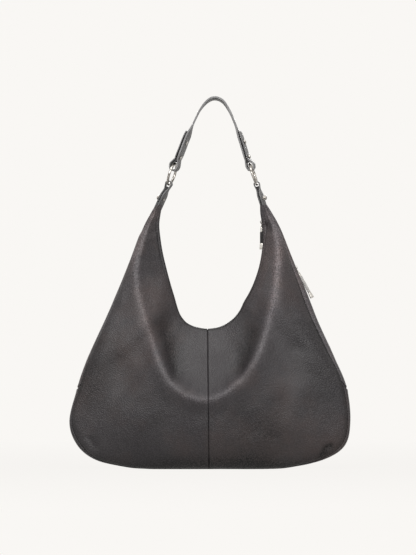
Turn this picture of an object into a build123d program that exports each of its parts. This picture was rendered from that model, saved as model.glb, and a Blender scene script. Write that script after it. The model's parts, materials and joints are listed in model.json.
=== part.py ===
from build123d import *
import os
from math import cos, hypot, radians, sin

# A slouchy leather hobo bag with a short shoulder strap. The origin is at the middle of the
# underside, +X to the wearer's right of the front, -Y to the front and +Z up, in millimetres.

os.makedirs("parts", exist_ok=True)

# ---- Driving dimensions --------------------------------------------------------------------
BODY_WIDTH = 440.0
BODY_DEPTH = 136.0
NECK_HEIGHT = 413.0
MOUTH_LOW_HEIGHT = 220.0
SEAM_X = -1.6

PANEL_WALL = 1.6
LINING_WALL = 0.7
LINING_GAP = 0.3
SEAM_GAP = 0.2
GUSSET_INSET = 6.5
NECK_INSET_SHARE = 0.27
RIM_HALF_GAP = 8.5

MOUTH_ARC_RADIUS = 192.0
MOUTH_ARC_X = -108.3
MOUTH_ARC_Z = 363.8

TAPE_WALL = 0.6
COIL_WIDTH = 2.3
COIL_WALL = 1.8
COIL_PARTING = 1.0
ZIP_CLEARANCE = 0.4
ZIP_DEPTH = 2.9

SLIDER_LENGTH = 8.0
SLIDER_WIDTH = 8.8
SLIDER_PLATE = 1.1
BAIL_HEIGHT = 2.6
BAIL_BAR = 0.9
LINK_RADIUS = 2.9
LINK_WIRE = 0.6
CLIP_LENGTH = 10.0
PULL_LENGTH = 17.0
PULL_WIDTH = 4.6
TIP_LENGTH = 10.0
PULL_WALL = 1.8

RING_RADIUS = 17.0
RING_WIRE = 2.0
RING_HEIGHT = 462.0
RING_LEFT_X = -58.8
RING_RIGHT_X = 68.8
RING_LEFT_LEAN = 18.0
RING_RIGHT_LEAN = -19.0
RING_LEFT_YAW = 7.0
RING_CLEARANCE = 0.83
STRAP_LOOP_SLACK = 0.05

STRAP_WIDTH = 24.0
STRAP_WALL = 1.5
STRAP_GLUE_GAP = 0.2
STRAP_LEAF_GAP = 1.6
STRAP_TOP = 583.0
TAB_WIDTH = 18.0
TAB_WALL = 1.8
TAB_INSERT = 7.0

RIVET_SHANK = 1.5
RIVET_HEAD = 3.6
RIVET_HEAD_WALL = 1.6
STUD_SHANK = 1.4
STUD_NECK = 1.9
STUD_BALL = 3.9

HALF_WIDTH = BODY_WIDTH / 2
HALF_DEPTH = BODY_DEPTH / 2

# ---- Body outline --------------------------------------------------------------------------
# Each half of the bag is a fan of stations that runs from the middle of the base to the tip of
# the neck. A station joins a point on the mouth line to a point on the outermost line.


def mouth_arc(angle):
    """A point on the arc that the mouth zip's slider follows, by its angle above level."""
    turn = radians(angle)
    return MOUTH_ARC_X + MOUTH_ARC_RADIUS * cos(turn), MOUTH_ARC_Z + MOUTH_ARC_RADIUS * sin(turn)


MOUTH_RIGHT = [(SEAM_X, MOUTH_LOW_HEIGHT), (19.6, 223.7), (36.9, 234.7), (47.5, 247.6)]
MOUTH_RIGHT += [mouth_arc(a) for a in (-32.2, -27.4, -22.2, -16.2, -11.0, -5.7, 0.0, 5.5, 10.8)]
MOUTH_RIGHT += [(79.6, NECK_HEIGHT)]

MOUTH_LEFT = [
    (SEAM_X, MOUTH_LOW_HEIGHT), (-21.2, 222.9), (-33.8, 228.4), (-41.6, 236.3), (-46.3, 244.1),
    (-50.2, 255.1), (-54.2, 269.3), (-60.4, 289.7), (-66.7, 313.2), (-73.0, 339.9),
    (-76.9, 365.0), (-78.5, 383.9), (-76.1, 402.7), (-73.8, NECK_HEIGHT),
]

# The outermost line, as shares of the half width and of the neck's height.
OUTLINE_LEFT = [
    (-0.007, 0.0), (-0.425, 0.0), (-0.603, 0.009), (-0.810, 0.036), (-0.945, 0.093),
    (-1.0, 0.181), (-0.942, 0.306), (-0.867, 0.424), (-0.746, 0.564), (-0.631, 0.705),
    (-0.539, 0.831), (-0.467, 0.922), (-0.414, 0.975), (-0.382, 1.0),
]
OUTLINE_RIGHT = [
    (-0.007, 0.0), (0.396, 0.0), (0.560, 0.009), (0.789, 0.040), (0.945, 0.089),
    (1.0, 0.177), (0.976, 0.306), (0.881, 0.424), (0.767, 0.561), (0.670, 0.686),
    (0.5818, 0.8002), (0.496, 0.9104), (0.4355, 0.971), (0.407, 1.0),
]
# Half depth at the fullest line and at the gusset seam, as shares of the half depth.
RIDGE_DEPTH = (1.0, 1.0, 0.985, 0.91, 0.80, 0.735, 0.735, 0.68, 0.59, 0.485, 0.38, 0.295, 0.23, 0.19)
SEAM_DEPTH = (0.62, 0.62, 0.59, 0.53, 0.47, 0.47, 0.47, 0.44, 0.40, 0.34, 0.265, 0.21, 0.185, 0.17)
RIDGE_REACH = (0.5, 0.5, 0.5, 0.5, 0.52, 0.54, 0.56, 0.58, 0.60, 0.61, 0.64, 0.64, 0.60, 0.58)
LAST = len(RIDGE_DEPTH) - 1
SIDE_START = 6
GUSSET_FLAT = 0.62
LEAST_SLANT = 0.4


class Station:
    """One section of the body: a plane from the mouth line to the outermost line."""

    def __init__(self, index, mouth, outline, side):
        shift = side * SEAM_GAP / 2 if index == 0 else 0.0
        self.mouth = Vector(mouth[index][0] + shift, 0, mouth[index][1])
        share_x, share_z = outline[index]
        self.edge = Vector(share_x * HALF_WIDTH + shift, 0, share_z * NECK_HEIGHT)
        self.reach = (self.edge - self.mouth).length
        self.direction = (self.edge - self.mouth).normalized()
        self.ridge = RIDGE_DEPTH[index] * HALF_DEPTH
        self.seam = SEAM_DEPTH[index] * HALF_DEPTH
        self.ridge_share = RIDGE_REACH[index]
        self.inset = min(GUSSET_INSET, NECK_INSET_SHARE * self.reach)
        self.plane = Plane(self.mouth, x_dir=self.direction, z_dir=self.direction.cross(Vector(0, -1, 0)))
        after, before = outline[min(index + 1, LAST)], outline[max(index - 1, 0)]
        run = Vector((after[0] - before[0]) * HALF_WIDTH, 0, (after[1] - before[1]) * NECK_HEIGHT)
        self.slant = max(abs(run.normalized().cross(self.direction).Y), LEAST_SLANT)


def stations(mouth, outline, side):
    return [Station(i, mouth, outline, side) for i in range(LAST + 1)]


LEFT = stations(MOUTH_LEFT, OUTLINE_LEFT, -1)
RIGHT = stations(MOUTH_RIGHT, OUTLINE_RIGHT, 1)


def set_in(line, inset):
    """A line moved square to itself towards the inside of the bag."""
    moved = []
    for i, (reach, depth) in enumerate(line):
        before = line[max(i - 1, 0)]
        after = line[min(i + 1, len(line) - 1)]
        run, rise = after[0] - before[0], after[1] - before[1]
        length = hypot(run, rise)
        moved.append((reach + rise / length * inset, depth - run / length * inset))
    return moved


def panel_line(station, inset):
    """A panel's line in its station's plane, set in from the outer face."""
    seam_reach = station.reach - station.inset
    ridge_reach = seam_reach * station.ridge_share
    belly_reach = (ridge_reach + seam_reach) / 2
    belly = station.seam + 0.88 * (station.ridge - station.seam)
    apron = RIM_HALF_GAP + 0.58 * (station.ridge - RIM_HALF_GAP)
    line = [
        (0, RIM_HALF_GAP),
        (ridge_reach * 0.55, apron),
        (ridge_reach, station.ridge),
        (belly_reach, belly),
        (seam_reach, station.seam),
    ]
    return set_in(line, inset)


def closed_outline(plane, outer, inner):
    """The face between two curves in a plane whose ends are joined by straight edges."""
    with BuildSketch(plane) as outline:
        with BuildLine():
            Spline(*outer)
            Line(outer[-1], inner[-1])
            Spline(*inner)
            Line(inner[0], outer[0])
        make_face()
    return outline.sketch


def panel_shell(run, inset, wall):
    """A curved sheet through a run of stations."""
    sections = []
    for station in run:
        outer = panel_line(station, inset)
        inner = set_in(outer, wall)
        sections.append(closed_outline(station.plane, outer, inner))
    with BuildPart() as sheet:
        loft(sections=sections, ruled=True)
    return sheet


def gusset_line(station, inset):
    """The gusset's channel in its station's plane, open towards the mouth."""
    seam_reach = station.reach - station.inset + SEAM_GAP
    flat = GUSSET_FLAT * station.seam
    side = station.seam - inset
    floor = station.reach - inset / station.slant
    return [(seam_reach, -side), (floor, -flat), (floor, flat), (seam_reach, side)]


def gusset_shell(run, inset, wall):
    """A channel through a run of stations that closes the bag between its panels."""
    with BuildPart() as sheet:
        for station in run:
            outer = gusset_line(station, inset)
            inner = gusset_line(station, inset + wall)
            with BuildSketch(station.plane):
                with BuildLine():
                    Polyline(*outer)
                    Polyline(*inner)
                    Line(outer[0], inner[0])
                    Line(outer[-1], inner[-1])
                make_face()
        loft(ruled=True)
    return sheet


# ---- Leather body --------------------------------------------------------------------------
front_panel_left = panel_shell(LEFT, 0, PANEL_WALL)
front_panel_right = panel_shell(RIGHT, 0, PANEL_WALL)
with BuildPart() as back_panel_left:
    mirror(front_panel_left.part, about=Plane.XZ)
with BuildPart() as back_panel_right:
    mirror(front_panel_right.part, about=Plane.XZ)


def trimmed(run, gap):
    """A run of stations whose first one is moved a little way along the outline."""
    first, second = run[0], run[1]
    share = gap / (second.edge - first.edge).length
    moved = object.__new__(Station)
    moved.mouth = first.mouth + (second.mouth - first.mouth) * share
    moved.edge = first.edge + (second.edge - first.edge) * share
    moved.reach = (moved.edge - moved.mouth).length
    moved.direction = (moved.edge - moved.mouth).normalized()
    moved.ridge = first.ridge + (second.ridge - first.ridge) * share
    moved.seam = first.seam + (second.seam - first.seam) * share
    moved.ridge_share = first.ridge_share
    moved.inset = first.inset
    moved.slant = first.slant
    moved.plane = Plane(
        moved.mouth, x_dir=moved.direction, z_dir=moved.direction.cross(Vector(0, -1, 0))
    )
    return [moved] + run[1:]


base_run = LEFT[SIDE_START::-1] + RIGHT[1 : SIDE_START + 1]
base_gusset = gusset_shell(base_run, 0, PANEL_WALL)
side_gusset_left = gusset_shell(trimmed(LEFT[SIDE_START:], SEAM_GAP * 2), 0, PANEL_WALL)
side_gusset_right_shell = gusset_shell(trimmed(RIGHT[SIDE_START:], SEAM_GAP * 2), 0, PANEL_WALL)

# ---- Lining --------------------------------------------------------------------------------
# The gusset's lining stops below the side zip, whose tapes close the bag there.
LINING_INSET = PANEL_WALL + LINING_GAP
LINING_LAST = 10
SIDE_ZIP_FROM = 8
lining_run = LEFT[LINING_LAST::-1] + RIGHT[1 : LINING_LAST + 1]
lining_front = panel_shell(lining_run, LINING_INSET, LINING_WALL)
with BuildPart() as lining_back:
    mirror(lining_front.part, about=Plane.XZ)
lining_gusset_run = LEFT[LINING_LAST::-1] + RIGHT[1:SIDE_ZIP_FROM]
lining_gusset = gusset_shell(lining_gusset_run, LINING_INSET, LINING_WALL)


# ---- Zips ----------------------------------------------------------------------------------
TAPE_START = COIL_PARTING / 2 + COIL_WIDTH + SEAM_GAP


mouth_run = LEFT[LAST - 1 : 0 : -1] + RIGHT[1:LAST]
mouth_points = [station.mouth for station in mouth_run]


def mouth_frame(i):
    """A plane across the mouth line whose x direction points down into the bag."""
    after = mouth_points[min(i + 1, len(mouth_points) - 1)]
    before = mouth_points[max(i - 1, 0)]
    along = (after - before).normalized()
    return Plane(mouth_points[i], x_dir=along.cross(Vector(0, -1, 0)), z_dir=along)


mouth_frames = [mouth_frame(i) for i in range(len(mouth_points))]


def mouth_line(depth):
    """The mouth line moved down into the bag."""
    moved = [frame.origin + frame.x_dir * depth for frame in mouth_frames]
    return [(point.X, point.Z) for point in moved]


def mouth_strip(wall, near, far):
    """A strip that follows the mouth, between two distances towards the back from the middle."""
    outline = closed_outline(
        Plane.XZ.offset(-far), mouth_line(ZIP_DEPTH - wall / 2), mouth_line(ZIP_DEPTH + wall / 2)
    )
    with BuildPart() as strip:
        extrude(outline, amount=far - near)
    return strip


tape_edge = RIM_HALF_GAP - LINING_INSET - LINING_WALL - SEAM_GAP
coil_near, coil_far = COIL_PARTING / 2, COIL_PARTING / 2 + COIL_WIDTH
mouth_zip_tape_front = mouth_strip(TAPE_WALL, -tape_edge, -TAPE_START)
mouth_zip_tape_back = mouth_strip(TAPE_WALL, TAPE_START, tape_edge)
mouth_zip_coil_front = mouth_strip(COIL_WALL, -coil_far, -coil_near)
mouth_zip_coil_back = mouth_strip(COIL_WALL, coil_near, coil_far)

# The side zip lies in the straight stretch of the right gusset. Its frame has x straight out of
# the gusset and z up along it.
side_low, side_high = RIGHT[SIDE_ZIP_FROM].edge, RIGHT[SIDE_ZIP_FROM + 3].edge
side_up = (side_high - side_low).normalized()
side_out = side_up.cross(Vector(0, -1, 0))
SIDE_ZIP_SINK = PANEL_WALL + ZIP_CLEARANCE + TAPE_WALL / 2
SIDE_ZIP_LENGTH = 124.0
STOP_LENGTH = 2.4
STOP_HALF_WIDTH = coil_far
COIL_END = STOP_LENGTH + 2 * ZIP_CLEARANCE
SIDE_ZIP_TOP_HEIGHT = 355.0
SIDE_SLIDER_HEIGHT = 315.0
SLOT_HALF_WIDTH = SLIDER_WIDTH / 2 + ZIP_CLEARANCE
SIDE_TAPE_HALF_WIDTH = SLOT_HALF_WIDTH + 2.0


def side_point(height):
    """The middle of the side zip's coil at a height."""
    on_edge = side_low + side_up * ((height - side_low.Z) / side_up.Z)
    return on_edge - side_out * SIDE_ZIP_SINK


side_top = side_point(SIDE_ZIP_TOP_HEIGHT)
side_bottom = side_top - side_up * SIDE_ZIP_LENGTH
side_middle_frame = Plane((side_top + side_bottom) / 2, x_dir=side_out, z_dir=side_up)

with BuildPart() as side_gusset_right:
    add(side_gusset_right_shell.part)
    with BuildSketch(side_middle_frame.offset(-SIDE_ZIP_LENGTH / 2)):
        Rectangle(8 * PANEL_WALL, 2 * SLOT_HALF_WIDTH)
    extrude(amount=SIDE_ZIP_LENGTH, mode=Mode.SUBTRACT)


def side_strip(wall, near, far, extra):
    """A strip of the side zip that runs past each end of its slot by the given extra."""
    with BuildPart() as strip:
        with BuildSketch(side_middle_frame.offset(-SIDE_ZIP_LENGTH / 2 - extra)):
            with Locations((0, (near + far) / 2)):
                Rectangle(wall, abs(far - near))
        extrude(amount=SIDE_ZIP_LENGTH + 2 * extra)
    return strip


side_zip_tape_front = side_strip(TAPE_WALL, -TAPE_START, -SIDE_TAPE_HALF_WIDTH, 4.0)
side_zip_tape_back = side_strip(TAPE_WALL, TAPE_START, SIDE_TAPE_HALF_WIDTH, 4.0)
side_zip_coil_front = side_strip(COIL_WALL, -coil_near, -coil_far, -COIL_END)
side_zip_coil_back = side_strip(COIL_WALL, coil_near, coil_far, -COIL_END)

with BuildPart(side_middle_frame) as side_zip_stops:
    for end in (-1, 1):
        with Locations((0, 0, end * (SIDE_ZIP_LENGTH / 2 - ZIP_CLEARANCE - STOP_LENGTH / 2))):
            Box(COIL_WALL, 2 * STOP_HALF_WIDTH, STOP_LENGTH)

with BuildPart() as mouth_zip_stops:
    for frame, way in ((mouth_frames[0], -1), (mouth_frames[-1], 1)):
        with BuildSketch(frame.offset(way * ZIP_CLEARANCE / 2)):
            with Locations((ZIP_DEPTH, 0)):
                Rectangle(COIL_WALL, 2 * STOP_HALF_WIDTH)
        extrude(amount=way * STOP_LENGTH)

plate_near = COIL_WALL / 2 + ZIP_CLEARANCE
plate_far = plate_near + SLIDER_PLATE
flange_reach = TAPE_WALL / 2 + ZIP_CLEARANCE
bail_middle = plate_far + BAIL_HEIGHT / 2
bail_far = plate_far + BAIL_HEIGHT


def zip_slider(frame):
    """A slider round the coil. Its frame has x out of the zip, y across and z along."""
    post_half_width = COIL_PARTING / 2 - 0.2
    flange_wall = 1.0
    with BuildPart(frame) as slider:
        for side in (-1, 1):
            with Locations((side * (plate_near + plate_far) / 2, 0, 0)):
                Box(SLIDER_PLATE, SLIDER_WIDTH, SLIDER_LENGTH)
            for way in (-1, 1):
                flange = plate_near - flange_reach + SLIDER_PLATE / 2
                place = side * (flange_reach + flange / 2)
                with Locations((place, way * (SLIDER_WIDTH - flange_wall) / 2, 0)):
                    Box(flange, flange_wall, SLIDER_LENGTH)
        Box(2 * plate_near + SLIDER_PLATE, 2 * post_half_width, SLIDER_LENGTH / 3)
        for way in (-1, 1):
            with Locations((bail_middle + BAIL_BAR / 2, 0, way * (SLIDER_LENGTH - 3) / 2)):
                Box(BAIL_HEIGHT + BAIL_BAR, 1.6, 1.2)
        with Locations((bail_far + BAIL_BAR / 2, 0, 0)):
            Box(BAIL_BAR, 1.6, SLIDER_LENGTH - 3 + 1.2)
    return slider


def zip_link(frame):
    """The ring through the slider's bail. Its frame's origin is the bail's opening."""
    with BuildPart(frame) as link:
        with Locations(Location((0, 0, -LINK_RADIUS), (0, 90, 0))):
            Torus(LINK_RADIUS, LINK_WIRE)
    return link


clip_eye = 1.0
clip_half = 1.3
clip_top = -2 * LINK_RADIUS


def zip_clip(frame):
    """A metal clip with an eye round the link's low side."""
    with BuildPart(frame) as clip:
        with Locations((0, 0, clip_top)):
            Cylinder(clip_eye + 0.5, 2 * clip_half, rotation=(90, 0, 0))
        with Locations((0, 0, clip_top - CLIP_LENGTH / 2)):
            Box(PULL_WALL, 2 * clip_half, CLIP_LENGTH)
        with Locations((0, 0, clip_top)):
            Cylinder(clip_eye, 2 * clip_half, rotation=(90, 0, 0), mode=Mode.SUBTRACT)
    return clip


pull_top = clip_top - CLIP_LENGTH - SEAM_GAP
tip_top = pull_top - PULL_LENGTH - SEAM_GAP


def zip_pull(frame):
    """The leather grip of a zip pull."""
    with BuildPart(frame) as pull:
        with Locations((0, 0, pull_top - PULL_LENGTH / 2)):
            Box(PULL_WALL, PULL_WIDTH, PULL_LENGTH)
        fillet(pull.edges().filter_by(Axis(frame.origin, frame.z_dir)), PULL_WALL * 0.3)
    return pull


def zip_tip(frame):
    """The metal end of a zip pull, which widens downwards."""
    with BuildPart() as tip:
        with BuildSketch(frame.offset(tip_top)):
            Rectangle(PULL_WALL, PULL_WIDTH)
        with BuildSketch(frame.offset(tip_top - TIP_LENGTH)):
            Rectangle(PULL_WALL, PULL_WIDTH + 1.6)
        loft()
    return tip


MOUTH_SLIDER_ANGLE = 7.0
turn = radians(MOUTH_SLIDER_ANGLE)
mouth_outward = Vector(-cos(turn), 0, -sin(turn))
mouth_along = Vector(-sin(turn), 0, cos(turn))
arc_point = mouth_arc(MOUTH_SLIDER_ANGLE)
mouth_coil_point = Vector(arc_point[0], 0, arc_point[1]) - mouth_outward * ZIP_DEPTH
mouth_slider_frame = Plane(mouth_coil_point, x_dir=mouth_outward, z_dir=mouth_along)
mouth_pull_frame = Plane(
    mouth_coil_point + mouth_outward * bail_middle, x_dir=(-1, 0, 0), z_dir=(0, 0, 1)
)
mouth_zip_slider = zip_slider(mouth_slider_frame)
mouth_zip_link = zip_link(mouth_pull_frame)
mouth_zip_clip = zip_clip(mouth_pull_frame)
mouth_zip_pull = zip_pull(mouth_pull_frame)
mouth_zip_tip = zip_tip(mouth_pull_frame)

side_slider_frame = Plane(side_point(SIDE_SLIDER_HEIGHT), x_dir=side_out, z_dir=side_up)
# The side pull's lower end rests a little way off the gusset.
SIDE_PULL_LIFT = 2.5
lift = radians(SIDE_PULL_LIFT)
side_pull_frame = Plane(
    side_point(SIDE_SLIDER_HEIGHT) + side_out * bail_middle,
    x_dir=side_out * cos(lift) + side_up * sin(lift),
    z_dir=side_up * cos(lift) - side_out * sin(lift),
)
side_zip_slider = zip_slider(side_slider_frame)
side_zip_link = zip_link(side_pull_frame)
side_zip_clip = zip_clip(side_pull_frame)
side_zip_pull = zip_pull(side_pull_frame)
side_zip_tip = zip_tip(side_pull_frame)


# ---- Rings, tabs and studs -----------------------------------------------------------------
def lean_direction(lean):
    """Up, leaned towards +X by an angle in degrees."""
    return Vector(sin(radians(lean)), 0, cos(radians(lean)))


def ring(x, lean, yaw):
    with BuildPart() as loop:
        with Locations(Location((x, 0, RING_HEIGHT), (0, 90 + lean, 0)) * Location((0, 0, 0), (yaw, 0, 0))):
            Torus(RING_RADIUS, RING_WIRE)
    return loop


ring_left = ring(RING_LEFT_X, RING_LEFT_LEAN, RING_LEFT_YAW)
ring_right = ring(RING_RIGHT_X, RING_RIGHT_LEAN, 0)

# The rings turn half as far as the strap drops, which yaws them in their loops by this much more.
RING_TURN = 17.5


def loop_half_gap(width, lean, yaw):
    """Half the room that a ring's wire needs in a loop of this width over the ring's turn."""
    swing = yaw + abs(lean) * sin(radians(RING_TURN))
    return RING_WIRE + width / 2 * sin(radians(swing)) + RING_CLEARANCE


def wire_height(width):
    """The height of a ring's wire from its centre where it leaves a loop of this width."""
    return (RING_RADIUS**2 - (width / 2) ** 2) ** 0.5


def tab(neck, x, lean, yaw):
    """A leather strip folded over a ring, with both ends in the neck."""
    up = lean_direction(lean)
    centre = Vector(x, 0, RING_HEIGHT)
    low_wire = centre - up * RING_RADIUS
    high_wire = centre - up * wire_height(TAB_WIDTH)
    gap = loop_half_gap(TAB_WIDTH, lean, yaw)
    root = neck - (high_wire - neck).normalized() * TAB_INSERT
    crotch = low_wire - (low_wire - neck).normalized() * (RING_WIRE + 9.0)
    shapes = (
        (Mode.ADD, ((high_wire, gap + TAB_WALL), (low_wire, gap + TAB_WALL), (crotch, TAB_WALL))),
        (Mode.ADD, ((crotch, TAB_WALL), (root, TAB_WALL))),
        (Mode.SUBTRACT, ((high_wire, gap), (low_wire, RING_WIRE + RING_CLEARANCE), (crotch, 0.3))),
    )
    with BuildPart() as strip:
        for mode, circles in shapes:
            with BuildSketch(Plane.XZ.offset(-TAB_WIDTH / 2)):
                for point, radius in circles:
                    with Locations((point.X, point.Z)):
                        Circle(radius)
                make_hull()
            extrude(amount=TAB_WIDTH, mode=mode)
    return strip


def neck_tip(run):
    return (run[-1].mouth + run[-1].edge) / 2


STUD_REACH = 11.0


def stud_plane(run, x, lean, outward):
    """A plane on a tab's outer face whose normal is the stud's axis."""
    neck = neck_tip(run)
    along = (Vector(x, 0, RING_HEIGHT) - lean_direction(lean) * RING_RADIUS - neck).normalized()
    normal = along.cross(Vector(0, 1, 0)) * outward
    return Plane(neck + along * STUD_REACH, x_dir=(0, 1, 0), z_dir=normal)


left_stud_plane = stud_plane(LEFT, RING_LEFT_X, RING_LEFT_LEAN, 1)
right_stud_plane = stud_plane(RIGHT, RING_RIGHT_X, RING_RIGHT_LEAN, -1)
STUD_HALF_LENGTH = TAB_WALL + 0.2


def drilled_tab(blank, plane):
    """A tab with a hole for its stud."""
    with BuildPart() as drilled:
        add(blank.part)
        with BuildSketch(plane.offset(-10)):
            Circle(STUD_SHANK + 0.1)
        extrude(amount=20, mode=Mode.SUBTRACT)
    return drilled


tab_left = drilled_tab(tab(neck_tip(LEFT), RING_LEFT_X, RING_LEFT_LEAN, RING_LEFT_YAW), left_stud_plane)
tab_right = drilled_tab(tab(neck_tip(RIGHT), RING_RIGHT_X, RING_RIGHT_LEAN, 0), right_stud_plane)


def stud(plane):
    """A button stud: screw head, shank through the tab, foot, neck and ball."""
    outline = [
        (0, -STUD_HALF_LENGTH - 1.0), (3.4, -STUD_HALF_LENGTH - 1.0), (3.4, -STUD_HALF_LENGTH),
        (STUD_SHANK, -STUD_HALF_LENGTH), (STUD_SHANK, STUD_HALF_LENGTH), (3.4, STUD_HALF_LENGTH),
        (3.4, STUD_HALF_LENGTH + 0.8), (STUD_NECK, STUD_HALF_LENGTH + 0.8),
        (STUD_NECK, STUD_HALF_LENGTH + 2.2), (STUD_BALL, STUD_HALF_LENGTH + 3.2),
        (STUD_BALL, STUD_HALF_LENGTH + 4.8), (STUD_BALL * 0.6, STUD_HALF_LENGTH + 6.2),
        (0, STUD_HALF_LENGTH + 6.6),
    ]
    profile = Plane(plane.origin, x_dir=plane.x_dir, z_dir=plane.x_dir.cross(plane.z_dir))
    with BuildPart() as button:
        with BuildSketch(profile):
            with BuildLine():
                Polyline(*outline, close=True)
            make_face()
        revolve(axis=Axis(plane.origin, plane.z_dir))
    return button


stud_left = stud(left_stud_plane)
stud_right = stud(right_stud_plane)


# ---- Strap ---------------------------------------------------------------------------------
strap_thickness = 2 * STRAP_WALL + STRAP_GLUE_GAP
left_up = lean_direction(RING_LEFT_LEAN)
right_up = lean_direction(RING_RIGHT_LEAN)
left_fold = Vector(RING_LEFT_X, 0, RING_HEIGHT) + left_up * wire_height(STRAP_WIDTH)
right_fold = Vector(RING_RIGHT_X, 0, RING_HEIGHT) + right_up * wire_height(STRAP_WIDTH)
fold_wall = strap_thickness / 2 + STRAP_LOOP_SLACK
left_fold_radius = loop_half_gap(STRAP_WIDTH, RING_LEFT_LEAN, RING_LEFT_YAW) + fold_wall
right_fold_radius = loop_half_gap(STRAP_WIDTH, RING_RIGHT_LEAN, 0) + fold_wall


def on_fold(fold, radius, up, angle):
    """A point on a fold's arc, by its angle from the strap's direction towards +X."""
    across = up.cross(Vector(0, 1, 0)) * -1
    return fold + up * (radius * cos(radians(angle))) + across * (radius * sin(radians(angle)))


apex_z = STRAP_TOP - strap_thickness / 2
leaf_pitch = strap_thickness + STRAP_LEAF_GAP
LEFT_LEG = [(-46.4, 488.0), (-41.9, 499.5), (-37.6, 511.0), (-34.2, 519.5), (-31.0, 528.0)]
RIGHT_LEG = [(56.6, 488.0), (53.3, 499.5), (49.8, 511.0), (47.2, 519.5), (44.5, 528.0)]


def leg_normal(leg, i, way):
    """The direction square to a leg that points away from the middle of the bag."""
    after, before = leg[min(i + 1, len(leg) - 1)], leg[max(i - 1, 0)]
    along = Vector(after[0] - before[0], 0, after[1] - before[1]).normalized()
    return along.cross(Vector(0, 1, 0)) * -way


def leaf_point(leg, i, way, distance):
    """A point beside a leg, at a distance outwards from the leg's middle."""
    return Vector(leg[i][0], 0, leg[i][1]) + leg_normal(leg, i, way) * distance


left_flap = [leaf_point(LEFT_LEG, i, -1, leaf_pitch) for i in (4, 3, 2, 1, 0)]
right_flap = [leaf_point(RIGHT_LEG, i, 1, leaf_pitch) for i in (0, 1, 2, 3, 4)]
FOLD_ANGLES = (-90, -135, 180, 135, 90)
left_round = [on_fold(left_fold, left_fold_radius, left_up, a) for a in FOLD_ANGLES]
right_round = [on_fold(right_fold, right_fold_radius, right_up, a) for a in FOLD_ANGLES]
crown = [(-24.2, 546.0), (-15.4, 563.5), (-4.6, 577.0), (8.6, apex_z)]
crown += [(21.0, 576.0), (31.0, 561.5), (38.4, 545.0)]
strap_points = [(p.X, p.Z) for p in left_flap + left_round] + LEFT_LEG + crown
strap_points += RIGHT_LEG[::-1] + [(p.X, p.Z) for p in right_round + right_flap]
strap_centre = Spline(*[(x, 0, z) for x, z in strap_points])
STRAP_SAMPLES = 120


def strap_line(offset):
    """The strap's line moved sideways by an offset, positive towards the outside of the loop."""
    line = []
    for i in range(STRAP_SAMPLES + 1):
        share = i / STRAP_SAMPLES
        point = strap_centre @ share
        along = strap_centre % share
        line.append((point.X - along.Z * offset, point.Z + along.X * offset))
    return line


def strap_band(near, far):
    """One layer of the strap, between two offsets from its middle."""
    with BuildPart() as band:
        extrude(
            closed_outline(Plane.XZ.offset(-STRAP_WIDTH / 2), strap_line(near), strap_line(far)),
            amount=STRAP_WIDTH,
        )
    return band


strap_outer_band = strap_band(STRAP_GLUE_GAP / 2, strap_thickness / 2)
strap_lining_band = strap_band(-strap_thickness / 2, -STRAP_GLUE_GAP / 2)

RIVET_STEPS = (0, 2)
RIVET_CLEARANCE = 1.35
RIVET_HALF_GRIP = (leaf_pitch + strap_thickness) / 2 + RIVET_CLEARANCE


def rivet_plane(leg, i, way):
    """A plane midway between the strap's two leaves whose normal points outwards."""
    return Plane(
        leaf_point(leg, i, way, leaf_pitch / 2), x_dir=(0, 1, 0), z_dir=leg_normal(leg, i, way)
    )


left_rivet_planes = [rivet_plane(LEFT_LEG, i, -1) for i in RIVET_STEPS]
right_rivet_planes = [rivet_plane(RIGHT_LEG, i, 1) for i in RIVET_STEPS]


def drilled_strap(band):
    with BuildPart() as drilled:
        add(band.part)
        for plane in left_rivet_planes + right_rivet_planes:
            with BuildSketch(plane.offset(-12)):
                Circle(RIVET_SHANK + 0.1)
            extrude(amount=24, mode=Mode.SUBTRACT)
    return drilled


strap_outer = drilled_strap(strap_outer_band)
strap_lining = drilled_strap(strap_lining_band)


def rivets(planes):
    """Domed rivets through both leaves, with flat backs on the inner side."""
    with BuildPart() as pair:
        for plane in planes:
            with BuildSketch(plane.offset(-RIVET_HALF_GRIP - 1.0)):
                Circle(RIVET_HEAD)
            extrude(amount=1.0)
            with BuildSketch(plane.offset(-RIVET_HALF_GRIP)):
                Circle(RIVET_SHANK)
            extrude(amount=2 * RIVET_HALF_GRIP)
            with BuildSketch(plane.offset(RIVET_HALF_GRIP)):
                Circle(RIVET_HEAD)
            extrude(amount=RIVET_HEAD_WALL, taper=35)
    return pair


strap_rivets_left = rivets(left_rivet_planes)
strap_rivets_right = rivets(right_rivet_planes)

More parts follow.
